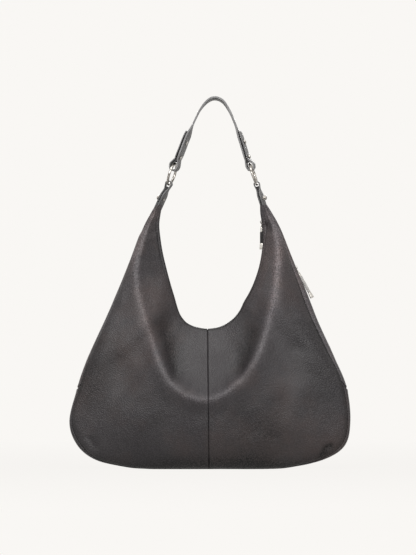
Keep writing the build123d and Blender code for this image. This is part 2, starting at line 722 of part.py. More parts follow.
# ---- Write the parts -----------------------------------------------------------------------
PARTS = {
    "front_panel_left": front_panel_left,
    "front_panel_right": front_panel_right,
    "back_panel_left": back_panel_left,
    "back_panel_right": back_panel_right,
    "base_gusset": base_gusset,
    "side_gusset_left": side_gusset_left,
    "side_gusset_right": side_gusset_right,
    "lining_front": lining_front,
    "lining_back": lining_back,
    "lining_gusset": lining_gusset,
    "mouth_zip_tape_front": mouth_zip_tape_front,
    "mouth_zip_tape_back": mouth_zip_tape_back,
    "mouth_zip_coil_front": mouth_zip_coil_front,
    "mouth_zip_coil_back": mouth_zip_coil_back,
    "mouth_zip_stops": mouth_zip_stops,
    "mouth_zip_slider": mouth_zip_slider,
    "mouth_zip_link": mouth_zip_link,
    "mouth_zip_clip": mouth_zip_clip,
    "mouth_zip_pull": mouth_zip_pull,
    "mouth_zip_tip": mouth_zip_tip,
    "side_zip_tape_front": side_zip_tape_front,
    "side_zip_tape_back": side_zip_tape_back,
    "side_zip_coil_front": side_zip_coil_front,
    "side_zip_coil_back": side_zip_coil_back,
    "side_zip_stops": side_zip_stops,
    "side_zip_slider": side_zip_slider,
    "side_zip_link": side_zip_link,
    "side_zip_clip": side_zip_clip,
    "side_zip_pull": side_zip_pull,
    "side_zip_tip": side_zip_tip,
    "tab_left": tab_left,
    "tab_right": tab_right,
    "stud_left": stud_left,
    "stud_right": stud_right,
    "ring_left": ring_left,
    "ring_right": ring_right,
    "strap_outer": strap_outer,
    "strap_lining": strap_lining,
    "strap_rivets_left": strap_rivets_left,
    "strap_rivets_right": strap_rivets_right,
}

for name, piece in PARTS.items():
    piece.part.label = name
    export_step(piece.part, f"parts/{name}.step")
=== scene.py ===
import json
import math

import bmesh
import bpy
import numpy as np
from mathutils import Matrix, Vector, noise


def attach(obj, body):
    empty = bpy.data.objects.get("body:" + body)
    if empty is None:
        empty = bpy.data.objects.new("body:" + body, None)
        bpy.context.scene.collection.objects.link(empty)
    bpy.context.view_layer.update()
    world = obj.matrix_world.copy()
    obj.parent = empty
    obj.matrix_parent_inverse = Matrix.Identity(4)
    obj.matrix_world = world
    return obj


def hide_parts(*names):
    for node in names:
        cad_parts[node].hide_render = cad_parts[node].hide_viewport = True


# A slouchy hobo bag in charcoal leather, with nickel rings, two zips and a short shoulder strap.
# Shapes are worked out in millimetres and made metres when a piece is finished. The front of the
# bag faces -Y. Turns are in degrees.

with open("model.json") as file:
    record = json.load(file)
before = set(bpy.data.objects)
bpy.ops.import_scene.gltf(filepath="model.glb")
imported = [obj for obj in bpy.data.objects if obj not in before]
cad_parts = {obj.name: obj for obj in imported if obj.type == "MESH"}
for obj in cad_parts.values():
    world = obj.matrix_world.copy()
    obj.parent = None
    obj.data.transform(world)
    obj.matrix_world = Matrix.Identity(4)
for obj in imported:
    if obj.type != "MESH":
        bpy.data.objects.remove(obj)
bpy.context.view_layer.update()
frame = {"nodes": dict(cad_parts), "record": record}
BODIES = frame["record"]["behaviour"]["bodies"]
BODY_OF = {name: body for body, names in BODIES.items() for name in names}


# ---- Materials -----------------------------------------------------------------------------
def colour(hex_code):
    """A linear colour from its sRGB hex value."""
    shares = [int(hex_code[i : i + 2], 16) / 255 for i in (0, 2, 4)]
    return [s / 12.92 if s < 0.04045 else ((s + 0.055) / 1.055) ** 2.4 for s in shares] + [1.0]


def fill(tree, made, inputs):
    """Fills a node's inputs with values, or with the outputs of other nodes. A node that is given
    whole stands for its first output."""
    for name, value in inputs.items():
        if isinstance(value, bpy.types.Node):
            value = value.outputs[0]
        if isinstance(value, bpy.types.NodeSocket):
            tree.links.new(value, made.inputs[name])
        else:
            made.inputs[name].default_value = value


def node(tree, kind, inputs=None, **settings):
    """A node with its settings and links."""
    made = tree.nodes.new("ShaderNode" + kind)
    for name, value in settings.items():
        setattr(made, name, value)
    fill(tree, made, inputs or {})
    return made


def blank_material(name):
    """A material with its tree, its shader and the place of each point on the object."""
    material = bpy.data.materials.new(name)
    material.use_nodes = True
    tree = material.node_tree
    return material, tree, tree.nodes["Principled BSDF"], node(tree, "TexCoord").outputs["Object"]


def per_metre(size_mm):
    """The scale of a pattern whose features are this many millimetres across."""
    return 1000 / size_mm


# The share by which the leather's colour is painted lighter, a painted highlight, for a "pull" of
# 1; a pull below 0 paints it darker, a painted shade.
PAINTED_LIGHT_SHARE = 0.5


def pebbled_cowhide(name, dark, light, pebble_mm=1.9, grain=0.9, tan_most=0.0):
    """Full-grain pull-up cowhide, drum milled: soft pebbles with a waxy sheen on their tops, darker
    in the creases between them. Its colour is painted lighter where the attribute "pull" is above
    0, a painted highlight, and painted darker where it is below 0, a painted shade. Its shade
    drifts slowly across the hide, here and there towards the tan below the dye. Its pores are 0.8
    mm and the speckles in its painted light and shade 1.9 mm, coarser than real ones, so that they
    show."""
    material, tree, shader, at = blank_material(name)
    drift = node(tree, "TexNoise", {"Vector": at, "Scale": per_metre(4), "Detail": 2})
    bent = node(
        tree, "MixRGB", {"Fac": 0.0012, "Color1": at, "Color2": drift.outputs["Color"]},
        blend_type="ADD",
    )
    pebbles = node(
        tree, "TexVoronoi",
        {"Vector": bent, "Scale": per_metre(pebble_mm), "Smoothness": 0.35, "Randomness": 0.9},
        feature="SMOOTH_F1",
    )
    pores = node(tree, "TexNoise", {"Vector": at, "Scale": per_metre(0.8), "Detail": 3})
    domes = node(
        tree, "MapRange",
        {"Value": pebbles, "From Min": 0, "From Max": 0.75, "To Min": 1, "To Max": 0},
        interpolation_type="SMOOTHSTEP",
    )
    relief = node(tree, "Math", {0: pores, 1: 0.35, 2: domes}, operation="MULTIPLY_ADD")
    hide = node(
        tree, "TexNoise", {"Vector": at, "Scale": per_metre(85), "Detail": 5, "Roughness": 0.62}
    )
    shade = node(tree, "ValToRGB", {"Fac": hide})
    for element, place, tone in zip(shade.color_ramp.elements, (0.32, 0.68), (dark, light)):
        element.position = place
        element.color = colour(tone)
    creased = node(
        tree, "MixRGB", {"Fac": 0.42, "Color1": shade, "Color2": domes}, blend_type="MULTIPLY"
    )
    tan = node(
        tree, "TexNoise", {"Vector": at, "Scale": per_metre(130), "Detail": 4, "Roughness": 0.7}
    )
    tan_share = node(
        tree, "MapRange", {"Value": tan, "From Min": 0.45, "From Max": 0.7, "To Max": tan_most}
    )
    tanned = node(
        tree, "MixRGB", {"Fac": tan_share, "Color1": creased, "Color2": colour("403532")}
    )
    # Speckles that break up the painted light and shade.
    sparkle_noise = node(tree, "TexNoise", {"Vector": at, "Scale": per_metre(1.9), "Detail": 1})
    painted_sparkle = node(
        tree, "MapRange",
        {"Value": sparkle_noise, "From Min": 0.35, "From Max": 0.65,
         "To Min": 0.3 * PAINTED_LIGHT_SHARE, "To Max": 1.8 * PAINTED_LIGHT_SHARE},
    )
    # The attribute "pull" holds painted light and shade, which scale the colour.
    painted_light_shade = node(tree, "Attribute", attribute_name="pull").outputs["Fac"]
    lighter = node(tree, "Math", {0: painted_light_shade, 1: painted_sparkle, 2: 1}, operation="MULTIPLY_ADD")
    painted_light_colour = node(tree, "VectorMath", {0: tanned, "Scale": lighter}, operation="SCALE")
    wax = node(
        tree, "MapRange",
        {"Value": hide, "From Min": 0.3, "From Max": 0.7, "To Min": 0.46, "To Max": 0.38},
    )
    bump = node(tree, "Bump", {"Height": relief, "Strength": grain, "Distance": 0.0004})
    fill(tree, shader, {
        "Base Color": painted_light_colour, "Roughness": wax, "IOR": 1.45, "Specular IOR Level": 0.28,
        "Normal": bump,
    })
    return material


def painted_edge(name, tone):
    """The cut edge of leather under edge paint: smooth, half matt, and a little lumpy."""
    material, tree, shader, at = blank_material(name)
    lumps = node(tree, "TexNoise", {"Vector": at, "Scale": per_metre(2.5), "Detail": 2})
    bump = node(tree, "Bump", {"Height": lumps, "Strength": 0.3, "Distance": 0.0002})
    fill(tree, shader, {"Base Color": colour(tone), "Roughness": 0.42, "Normal": bump})
    return material


# A wave texture at a scale of 1 has a band in every twentieth of a metre.
BANDS_PER_METRE = 20


def woven(name, dark, light, thread_mm, roughness, diagonal):
    """Plain or twill cloth: two crossed sets of threads with a soft sheen. A diagonal of 45 degrees
    gives the slanting lines of twill."""
    material, tree, shader, at = blank_material(name)
    slant = (0, math.radians(diagonal), math.radians(diagonal))
    turned_way = node(tree, "Mapping", {"Vector": at, "Rotation": slant})
    warp, weft = [
        node(
            tree, "TexWave",
            {"Vector": turned_way, "Scale": per_metre(thread_mm) / BANDS_PER_METRE,
             "Distortion": 0.6, "Detail": 1},
            bands_direction=direction,
        ).outputs["Fac"]
        for direction in ("X", "Z")
    ]
    cloth = node(tree, "Math", {0: warp, 1: weft}, operation="MULTIPLY")
    tint = node(tree, "MixRGB", {"Fac": cloth, "Color1": colour(dark), "Color2": colour(light)})
    bump = node(tree, "Bump", {"Height": cloth, "Strength": 0.5, "Distance": 0.00015})
    fill(tree, shader, {
        "Base Color": tint, "Roughness": roughness, "Sheen Weight": 0.25, "Normal": bump,
    })
    return material


def nickel_plate(name, dull, bright, roughness, brush_mm):
    """Nickel plate: a warm grey mirror, clouded with tarnish and softened by brush lines, which are
    drawn several times coarser than real ones, so that they show."""
    material, tree, shader, at = blank_material(name)
    tarnish = node(tree, "TexNoise", {"Vector": at, "Scale": per_metre(3.5), "Detail": 3})
    clouds = node(tree, "MapRange", {"Value": tarnish, "From Min": 0.38, "From Max": 0.6})
    plate = node(
        tree, "MixRGB", {"Fac": clouds, "Color1": colour(dull), "Color2": colour(bright)}
    )
    handling = node(tree, "TexNoise", {"Vector": at, "Scale": per_metre(6), "Detail": 3})
    dulled = node(
        tree, "MapRange",
        {"Value": handling, "To Min": roughness - 0.06, "To Max": roughness + 0.08},
    )
    lines = node(tree, "TexNoise", {"Vector": at, "Scale": per_metre(brush_mm)})
    bump = node(tree, "Bump", {"Height": lines, "Strength": 0.08, "Distance": 0.00005})
    fill(tree, shader, {
        "Base Color": plate, "Metallic": 1, "Roughness": dulled, "Normal": bump,
    })
    return material


def moulded_nylon(name, tone):
    """Nylon monofilament, dyed in the mass, with a slight gloss. Its specks are drawn coarser than
    real ones, so that they show."""
    material, tree, shader, at = blank_material(name)
    speck = node(tree, "TexNoise", {"Vector": at, "Scale": per_metre(0.7)})
    bump = node(tree, "Bump", {"Height": speck, "Strength": 0.15, "Distance": 0.00005})
    fill(tree, shader, {"Base Color": colour(tone), "Roughness": 0.35, "Normal": bump})
    return material


def bonded_thread(name, tone):
    """Bonded polyester thread, twisted from three plies, half matt."""
    material, tree, shader, at = blank_material(name)
    plies = node(
        tree, "TexWave", {"Vector": at, "Scale": per_metre(0.9) / BANDS_PER_METRE},
        bands_direction="DIAGONAL",
    ).outputs["Fac"]
    bump = node(tree, "Bump", {"Height": plies, "Strength": 0.4, "Distance": 0.0001})
    fill(tree, shader, {"Base Color": colour(tone), "Roughness": 0.55, "Normal": bump})
    return material


leather = pebbled_cowhide("pebbled cowhide", "343133", "403d3e", tan_most=0.5)
# Flatter leather, for the strap, the tabs, the zips' pull strips and the fillers: its pebbles are
# smaller and pressed lower.
# The strap's and tabs' leather is drawn lighter than the body's, a painted highlight for the light
# on their upper faces.
lightened_strap_leather = pebbled_cowhide("smooth strap cowhide", "636262", "727171", 1.5, 0.5)
# Near black, a painted shade: the mouth pull's strip and the fillers between leaves.
shaded_pull_leather = pebbled_cowhide("pull cowhide in painted shade", "1d1b1c", "272525", 1.5, 0.35)
# Pale grey, a painted highlight: the side pull's strip, the same kind of pull as the mouth's.
highlit_pull_leather = pebbled_cowhide("pull cowhide in painted highlight", "b5b2ae", "c8c5c1", 1.5, 0.35)
edge_paint = painted_edge("grey edge paint", "757474")
lining_cloth = woven("cotton twill lining", "2b2a2c", "3a383a", 0.6, 0.85, 45)
tape_cloth = woven("polyester zip tape", "171718", "262627", 0.5, 0.8, 0)
coil_nylon = moulded_nylon("nylon coil", "1c1c1d")
thread = bonded_thread("bonded thread", "353233")
nickel = nickel_plate("polished nickel", "77736e", "bab6b0", 0.2, 0.6)
brushed_nickel = nickel_plate("brushed nickel", "b2afaa", "dad7d1", 0.3, 0.3)


# ---- Making pieces -------------------------------------------------------------------------
def finished(name, bm, material, body=None, smooth=True):
    """A piece from a mesh in millimetres. It stands for the node of its name and rides on that
    node's body, or is a new piece that rides on the body given."""
    bmesh.ops.transform(bm, matrix=Matrix.Scale(0.001, 4), verts=bm.verts)
    for face in bm.faces:
        face.smooth = smooth
    mesh = bpy.data.meshes.new(name)
    bm.to_mesh(mesh)
    bm.free()
    mesh.materials.append(material)
    piece = bpy.data.objects.new(name, mesh)
    bpy.context.scene.collection.objects.link(piece)
    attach(piece, body or BODY_OF[name])
    if body is None:
        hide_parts(name)
    return piece


def with_wall(piece, wall_mm):
    """Gives a sheet its thickness, inwards from its outer face."""
    solid = piece.modifiers.new("wall", "SOLIDIFY")
    solid.thickness = wall_mm / 1000
    solid.offset = -1.0
    solid.use_even_offset = False


def ramp(value, start, end):
    """The share of the way from start to end, from 0 to 1."""
    return np.clip((value - start) / (end - start), 0, 1)


def eased(value, start=0, end=1):
    """A ramp that starts and ends gently."""
    share = ramp(value, start, end)
    return share * share * (3 - 2 * share)


def hump(value, middle, width):
    """A soft hill round the middle, 1 high, whose flanks fall away within its half width."""
    return np.exp(-(((value - middle) / width) ** 2))


def steps_along(points):
    """The way along a line at each of its points."""
    last = len(points) - 1
    return [
        (points[min(i + 1, last)] - points[max(i - 1, 0)]).normalized() for i in range(last + 1)
    ]


def spline(before, start, end, after, t):
    """A place between two points of a smooth line through four."""
    return 0.5 * (
        2 * start
        + (end - before) * t
        + (2 * before - 5 * start + 4 * end - after) * t**2
        + (3 * start - before - 3 * end + after) * t**3
    )


def along(points, at):
    """Places on a smooth line through the points, counted in points from the first."""
    points = np.asarray(points, float)
    last = len(points) - 1
    start = np.clip(np.floor(at).astype(int), 0, last - 1)
    t = (np.asarray(at) - start).reshape((-1,) + (1,) * (points.ndim - 1))
    pick = [points[np.clip(start + k, 0, last)] for k in (-1, 0, 1, 2)]
    return spline(*pick, t)


def across(rows, share):
    """Places on smooth lines that the rows' points pull towards them, by share of their count."""
    last = rows.shape[1] - 1
    here = np.clip(np.floor(share).astype(int), 0, last)
    t = (share - here)[:, None]
    index = np.arange(len(rows))
    middle = rows[index, here]
    start = (rows[index, np.maximum(here - 1, 0)] + middle) / 2
    end = (rows[index, np.minimum(here + 1, last)] + middle) / 2
    return (1 - t) ** 2 * start + 2 * t * (1 - t) * middle + t**2 * end


def grid(columns, rows):
    """A flat grid, with each corner's shares along and across it."""
    bm = bmesh.new()
    bmesh.ops.create_grid(bm, x_segments=columns, y_segments=rows, size=1)
    places = np.array([v.co for v in bm.verts])
    return bm, (places[:, 0] + 1) / 2, (places[:, 1] + 1) / 2


def move_to(bm, points):
    """Moves each corner to its point."""
    for v, point in zip(bm.verts, points):
        v.co = point


def turn_outwards(bm, outward):
    """Turns the faces so that they look the way that outward says at each one."""
    bm.normal_update()
    if sum(f.normal.dot(outward(f.calc_center_median())) for f in bm.faces) < 0:
        bmesh.ops.reverse_faces(bm, faces=bm.faces)
    bm.normal_update()


# ---- The body's run of stations ------------------------------------------------------------
# Stations run from the left neck's tip down round the base and up to the right neck's tip. Each
# joins a point on the mouth to a point on the outermost line.
SEAM_X = -1.6
LAST = 13
ACROSS = Vector((0, 1, 0))
BODY_MIDDLE = Vector((0, 0, 200))
# The right side of the mouth is round: the middle of its circle and its radius.
MOUTH_ARC = (-108.3, 363.8, 192.0)


def mouth_arc(angle):
    """The place at an angle on the round side of the mouth."""
    x, z, radius = MOUTH_ARC
    return x + radius * math.cos(math.radians(angle)), z + radius * math.sin(math.radians(angle))


MOUTH_LEFT = [
    (SEAM_X, 219.8), (-21.2, 222.9), (-33.8, 228.4), (-41.6, 236.3), (-46.3, 244.1), (-50.2, 255.1),
    (-54.2, 269.3), (-60.4, 289.7), (-66.7, 313.2), (-73, 339.9), (-76.9, 365), (-78.5, 383.9),
    (-76.1, 402.7), (-73.8, 413.7),
]
MOUTH_RIGHT = [(SEAM_X, 219.8), (19.6, 223.7), (36.9, 234.7), (47.5, 247.6)]
MOUTH_RIGHT += [mouth_arc(a) for a in (-32.2, -27.4, -22.2, -16.2, -11, -5.7, 0, 5.5, 10.8)]
MOUTH_RIGHT += [(79.8, 412.6)]
OUTLINE_LEFT = [
    (SEAM_X, 0), (-93.4, 0), (-135, 3.7), (-179.5, 14.9), (-208, 38.5), (-219.8, 74.6),
    (-207.2, 126.4), (-190.8, 175.1), (-164.1, 233.1), (-138.9, 291.2), (-118.5, 343),
    (-102.8, 380.7), (-91.1, 402.7), (-84, 413.7),
]
OUTLINE_RIGHT = [
    (SEAM_X, 0), (87.1, 0), (128, 2.8), (179.5, 15), (211.5, 36.2), (220.6, 73),
    (215.4, 126.4), (195.6, 175.9), (170, 232.2), (149.6, 283.9), (129.6, 331.2),
    (111.2, 376.8), (97.6, 401.6), (90, 413.7),
]
# For each station away from the middle of the base: the half depth at the deepest place and at
# the seam to the gusset, and how far inside the outline that seam runs.
RIDGE_DEPTH = (68, 68, 67, 62, 54, 50, 50, 46, 40, 33, 26, 20, 15, 12)
SEAM_DEPTH = (30, 30, 30, 30, 31, 32, 32, 30, 27, 23, 18, 13, 11, 10)
SEAM_INSET_LEFT = (0.8, 0.8, 1.2, 3, 5.5, 6.5, 6.5, 6.5, 6.5, 6.5, 6, 5, 3.5, 2.5)
SEAM_INSET_RIGHT = (0.8, 0.8, 1.2, 3, 5.5, 7.5, 13, 24, 23, 17, 10.5, 6.5, 4, 2.5)
# How far down each station the deepest place is, where the leather hangs in its main folds.
RIDGE_LEFT = (0.51, 0.42, 0.36, 0.29, 0.26, 0.26, 0.30, 0.36, 0.47, 0.62, 0.76, 0.78, 0.75, 0.70)
RIDGE_RIGHT = (0.50, 0.40, 0.32, 0.26, 0.23, 0.21, 0.22, 0.25, 0.31, 0.41, 0.56, 0.72, 0.75, 0.70)
# The half depth of the rolled rim beside the mouth.
RIM = 8.8
# A station whose panel is shorter than this has its rim and seam drawn in to fit.
SHORT_PANEL = 45


def station(i):
    """A station's point on the mouth and its outermost point."""
    n = abs(i)
    mouth = (MOUTH_LEFT if i < 0 else MOUTH_RIGHT)[n]
    outline = (OUTLINE_LEFT if i < 0 else OUTLINE_RIGHT)[n]
    return Vector((mouth[0], 0, mouth[1])), Vector((outline[0], 0, outline[1]))


def seam_inset(i):
    """How far inside the outline the seam between panel and gusset runs."""
    return (SEAM_INSET_LEFT if i < 0 else SEAM_INSET_RIGHT)[abs(i)]


def panel_profile(i, seam):
    """Distances from the mouth and half depths down a panel, from inside the rim to the seam."""
    n = abs(i)
    ridge = (RIDGE_LEFT if i < 0 else RIDGE_RIGHT)[n] * seam
    full, edge = RIDGE_DEPTH[n], SEAM_DEPTH[n]
    neck = min(max((n - 2) / 3, 0), 1)
    fold = min(1.0, seam / SHORT_PANEL)
    rest = seam - ridge
    return [
        (8.0 * fold, 4.8), (1.6 * fold, 4.4), (-0.4, 6.4), (1.6 * fold, RIM),
        (5.0 * fold, RIM + 0.03 * (full - RIM)),
        (0.14 * ridge, RIM + 0.10 * (full - RIM)),
        (0.36 * ridge, RIM + 0.30 * (full - RIM)),
        (0.62 * ridge, RIM + (0.63 - 0.05 * neck) * (full - RIM)),
        (0.84 * ridge, RIM + (0.88 - 0.10 * neck) * (full - RIM)),
        (ridge, full + 1.5 - 0.13 * neck * (full - RIM)),
        (ridge + 0.14 * rest, full - 0.02 * (full - edge)),
        (ridge + 0.40 * rest, edge + 0.90 * (full - edge)),
        (ridge + 0.68 * rest, edge + 0.68 * (full - edge)),
        (ridge + 0.90 * rest, edge + 0.34 * (full - edge)),
        (ridge + 0.985 * rest, edge + 0.08 * (full - edge) + 1),
        (seam + 0.2, edge - 1.0), (seam - 2.5 * fold, edge - 3.5),
    ]


# How much of a grid's depth each point of a profile takes, in parts.
PROFILE_PACE = (4, 4, 4, 5, 7, 11, 19, 22, 18, 20, 28, 38, 38, 24, 10, 5, 4)


def gusset_profile(n, seam, reach):
    """Distances from the mouth and half depths across the gusset, from seam to seam."""
    edge = SEAM_DEPTH[n]
    half = [
        (seam - 2.5, edge - 3.6), (seam + 0.2, edge - 1.1),
        (seam + 0.75 * (reach - seam), edge - 2.2), (reach, 0.70 * edge), (reach, 0.3 * edge),
    ]
    return [(r, -d) for r, d in half] + [(reach + 0.2, 0)] + [(r, d) for r, d in half[::-1]]


GUSSET_PACE = (4, 4, 6, 14, 16, 16, 16, 14, 6, 4, 4)


def body_net(face):
    """The panels' net on one face of the bag, -1 for the front and 1 for the back."""
    rows = []
    for i in range(-LAST, LAST + 1):
        mouth, outline = station(i)
        way = (outline - mouth).normalized()
        seam = (outline - mouth).length - seam_inset(i)
        line = panel_profile(i, seam)
        rows.append([mouth + way * reach + Vector((0, face * depth, 0)) for reach, depth in line])
    return np.array(rows)


def gusset_net():
    """The gussets' net, all the way round the bag."""
    rows = []
    for i in range(-LAST, LAST + 1):
        mouth, outline = station(i)
        way = (outline - mouth).normalized()
        reach = (outline - mouth).length
        line = gusset_profile(abs(i), reach - seam_inset(i), reach)
        rows.append([mouth + way * r + Vector((0, depth, 0)) for r, depth in line])
    return np.array(rows)


def paced(share, pace):
    """The share of a profile's points at an even share of its length."""
    marks = np.concatenate([[0], np.cumsum(pace)])
    return np.minimum(np.interp(share * marks[-1], marks, np.arange(len(marks))), len(pace) - 1e-6)


def on_net(net, stations, shares):
    """Points on a net, by station from the left neck's tip and by share of the profile."""
    rows = along(net.reshape(len(net), -1), stations).reshape(len(stations), -1, 3)
    return across(rows, shares)


# ---- Folds ---------------------------------------------------------------------------------
# Each fold follows a line on the face of the bag: its points, its height, its half widths on the
# line's left and right, and its tone, the painted light along it: above 0 a painted highlight,
# below 0 a painted shade.
LEFT_SWAG = [(-86, 409), (-97.5, 386), (-108, 357.2), (-114.5, 328.9), (-115.5, 306.9),
    (-112.3, 275.5), (-104.4, 245.7), (-98.1, 222.2), (-91.8, 204.9), (-84, 181.3),
    (-74.6, 157.8), (-63.6, 138.9), (-52.6, 126.4), (-36.9, 115.4), (-18.1, 109),
    (-2.4, 107.5)]
RIGHT_SWAG = [(90, 409), (101.5, 386), (106, 357.2), (107.4, 327.3), (104.6, 291.2),
    (101.6, 267.7), (98.1, 250.4), (91.8, 227.7), (80.9, 192.3), (71.4, 170.3), (60.4, 154.6),
    (46.3, 136.6), (29, 121.7), (11.8, 112.5), (-2.4, 108)]
FRONT_SWAG = LEFT_SWAG[:-1] + RIGHT_SWAG[::-1]
FRONT_FOLDS = [
    (FRONT_SWAG, 4.4, 13, 16, 0.6),
    (FRONT_SWAG, 1.1, 4.5, 5, 1.35),
    (RIGHT_SWAG[1:9], 0, 7, 6, 0.9),
    ([(-125, 135), (-100, 90), (-70, 60)], 0, 45, 45, -0.35),
    ([(70, 130), (75, 60), (70, 10), (140, 20)], 0, 45, 45, -0.5),
    ([(-130, 6), (0, 8), (130, 6)], 0, 14, 14, -0.8),
    ([(-74, 250), (-68, 225), (-61, 197), (-55, 170), (-49, 148), (-40, 130)], -6, 18, 14, -1),
    ([(75, 240), (67, 218), (59, 195), (52, 172), (44, 152), (36, 136)], -5.5, 14, 18, -1),
    ([(86, 400), (89, 350), (91, 312), (90, 275), (82, 240)], 0, 15, 14, 1.1),
    ([(104, 288), (99, 252), (92, 222)], 0, 11, 9, 0.7),
    ([(104, 380), (109, 335), (107, 290)], 0, 9, 9, 0.45),
    ([(-110, 360), (-117, 320), (-116, 285)], 0, 9, 9, 0.4),
    ([(-74, 440), (-82, 414), (-101, 380), (-116, 345), (-130, 310)], 0, 8, 9, 1.2),
    ([(79, 440), (88, 414), (102, 386), (112, 362), (120, 340)], 0, 9, 8, 1.2),
    ([(-96, 330), (-98, 290), (-92, 255), (-84, 225)], 0, 14, 12, 0.45),
    ([(-150, 240), (-172, 190), (-186, 130), (-190, 70)], 0, 34, 28, -0.8),
    ([(132, 250), (158, 190), (182, 130), (198, 70)], 0, 28, 30, -0.65),
    ([(-180, 150), (-171.9, 179.8), (-159.4, 223.7), (-146, 262)], 3, 14, 14, 0.3),
    ([(152, 150), (142, 123), (120, 75), (98, 35)], 4, 22, 22, 0.15),
    ([(126, 135), (115, 92), (101, 57), (95, 36)], -2.5, 16, 18, -0.35),
    ([(-196, 50), (-193.9, 41.6), (-184.5, 22.8), (-176, 16)], 2, 4.5, 6, 0.4),
    ([(-188, 54), (-184, 42), (-175, 28)], -1.8, 8, 5, -0.2),
    ([(168, 16), (175, 22), (182, 33), (190, 37), (198, 36)], -3.6, 3.6, 6, -1.3),
    ([(217, 84), (219.5, 72), (218, 58)], -3, 3.5, 3.5, -1.8),
    ([(-129, 318), (-134, 295), (-137, 272.4), (-140, 245.7)], 1.8, 7, 5, 0.25),
    ([(-96, 392), (-94, 378), (-88, 362)], -2.5, 9, 9, -0.12),
    ([(84, 386), (92, 377), (97, 366)], -3, 9, 7, -0.15),
    ([(70, 290), (67, 265), (60, 235)], 2.5, 14, 14, 0.12),
    ([(-68, 305), (-76, 275), (-82, 245)], 2.2, 14, 14, 0.11),
    ([(-1.6, 215), (-1.6, 180), (-1.6, 145)], 2, 40, 40, 0.1),
    ([(-150, 105), (-120, 84), (-90, 62)], 2.2, 22, 22, 0.11),
    ([(-150, 190), (-138, 150), (-118, 110)], -3, 22, 22, -0.15),
    ([(150, 240), (146, 205), (138, 170)], -2.5, 20, 22, -0.12),
    ([(30, 92), (60, 72), (78, 45)], -2, 20, 20, -0.1),
]
# The back's folds, with painted highlights and painted shade in their tone, as on the front.
BACK_FOLDS = [
    ([(-96, 392), (-106, 362), (-112, 325), (-110, 285), (-101, 245), (-90, 210), (-72, 168),
      (-48, 140), (-20, 128), (0, 126), (15, 127), (40, 138), (64, 163), (82, 200),
      (93, 235), (103, 275), (109, 315), (108, 355), (99, 390)], 4, 8, 16, 0.7),
    ([(-78, 235), (-66, 200), (-50, 165)], -5.5, 28, 11, -0.7),
    ([(76, 235), (62, 195), (44, 162)], -6, 11, 28, -0.7),
    ([(-168, 190), (-150, 140), (-120, 80)], 3.5, 20, 20, 0.21),
    ([(164, 170), (140, 120), (118, 60)], 3.5, 20, 20, 0.21),
    ([(-120, 120), (-100, 80), (-85, 45)], -3, 16, 16, -0.18),
    ([(-186, 46), (-178, 30), (-168, 22)], -3.5, 6, 6, -0.21),
    ([(180, 40), (172, 26), (160, 20)], -3, 6, 6, -0.18),
]
# A fold fades in over this share of its length at each end.
END_FADE = 0.3
# A fold of more points than this is a long swag. Its height and its painted light and shade fade in
# over these shares.
SWAG_POINTS = 10
SWAG_FADES = (0.07, 0.02)


def fold_relief(x, z, folds):
    """How far the folds raise each place on the face of the bag, and the painted light and shade
    that they lay on it.
    """
    total, pull = np.zeros(len(x)), np.zeros(len(x))
    for points, height, left_width, right_width, tone in folds:
        line = np.array(points)
        nearest = np.full(len(x), 1e9)
        share = np.zeros(len(x))
        on_left = np.zeros(len(x), bool)
        for k in range(len(line) - 1):
            run = line[k + 1] - line[k]
            off_x, off_z = x - line[k, 0], z - line[k, 1]
            t = np.clip((off_x * run[0] + off_z * run[1]) / (run @ run), 0, 1)
            gap = np.hypot(off_x - run[0] * t, off_z - run[1] * t)
            closer = gap < nearest
            share = np.where(closer, (k + t) / (len(line) - 1), share)
            on_left = np.where(closer, run[0] * off_z - run[1] * off_x > 0, on_left)
            nearest = np.minimum(gap, nearest)
        width = np.where(on_left, left_width, right_width)
        swell = hump(nearest, 0, width)
        from_end = np.minimum(share, 1 - share)
        rise, shade = SWAG_FADES if len(points) > SWAG_POINTS else (END_FADE, END_FADE)
        total += height * swell * eased(from_end / rise)
        # The tone paints light and shade into the leather's colour.
        pull += tone * swell * eased(from_end / shade)
    return total, pull


def hide_relief(points, seed):
    """The unevenness of soft leather: slow swells with smaller puckers on them."""
    shift = Vector((seed * 17.3, seed * 5.1, seed * 9.7))
    heights = []
    for p in points:
        at = Vector(p)
        heights.append(
            0.9 * noise.noise(at / 52 + shift)
            + 0.35 * noise.noise(at / 21 + shift)
            + 0.12 * noise.noise(at / 8 + shift)
        )
    return np.array(heights)


# ---- Leather panels ------------------------------------------------------------------------
NETS = {-1: body_net(-1), 1: body_net(1)}
MOUTH = np.array([list(station(i)[0]) for i in range(-LAST, LAST + 1)])
LEATHER_WALL = 1.2
PANEL_GRID = (210, 130)
# The power by which a panel's columns crowd towards the middle seam.
SEAM_PACE = 1.35
# The groove pressed beside the mouth up the necks: how far in from the edge, and its half width.
RIM_GROOVE = 5.2
RIM_GROOVE_HALF = 0.9
# The heights between which the painted shade and painted highlight along the side seams come in.
SIDE_SHADE = (110, 160)


def seam_line(z):
    """Where the middle seam runs, which leans a little from the mouth to the base."""
    return SEAM_X - 1.4 + 2.2 * (1 - ramp(z, 0, 217))


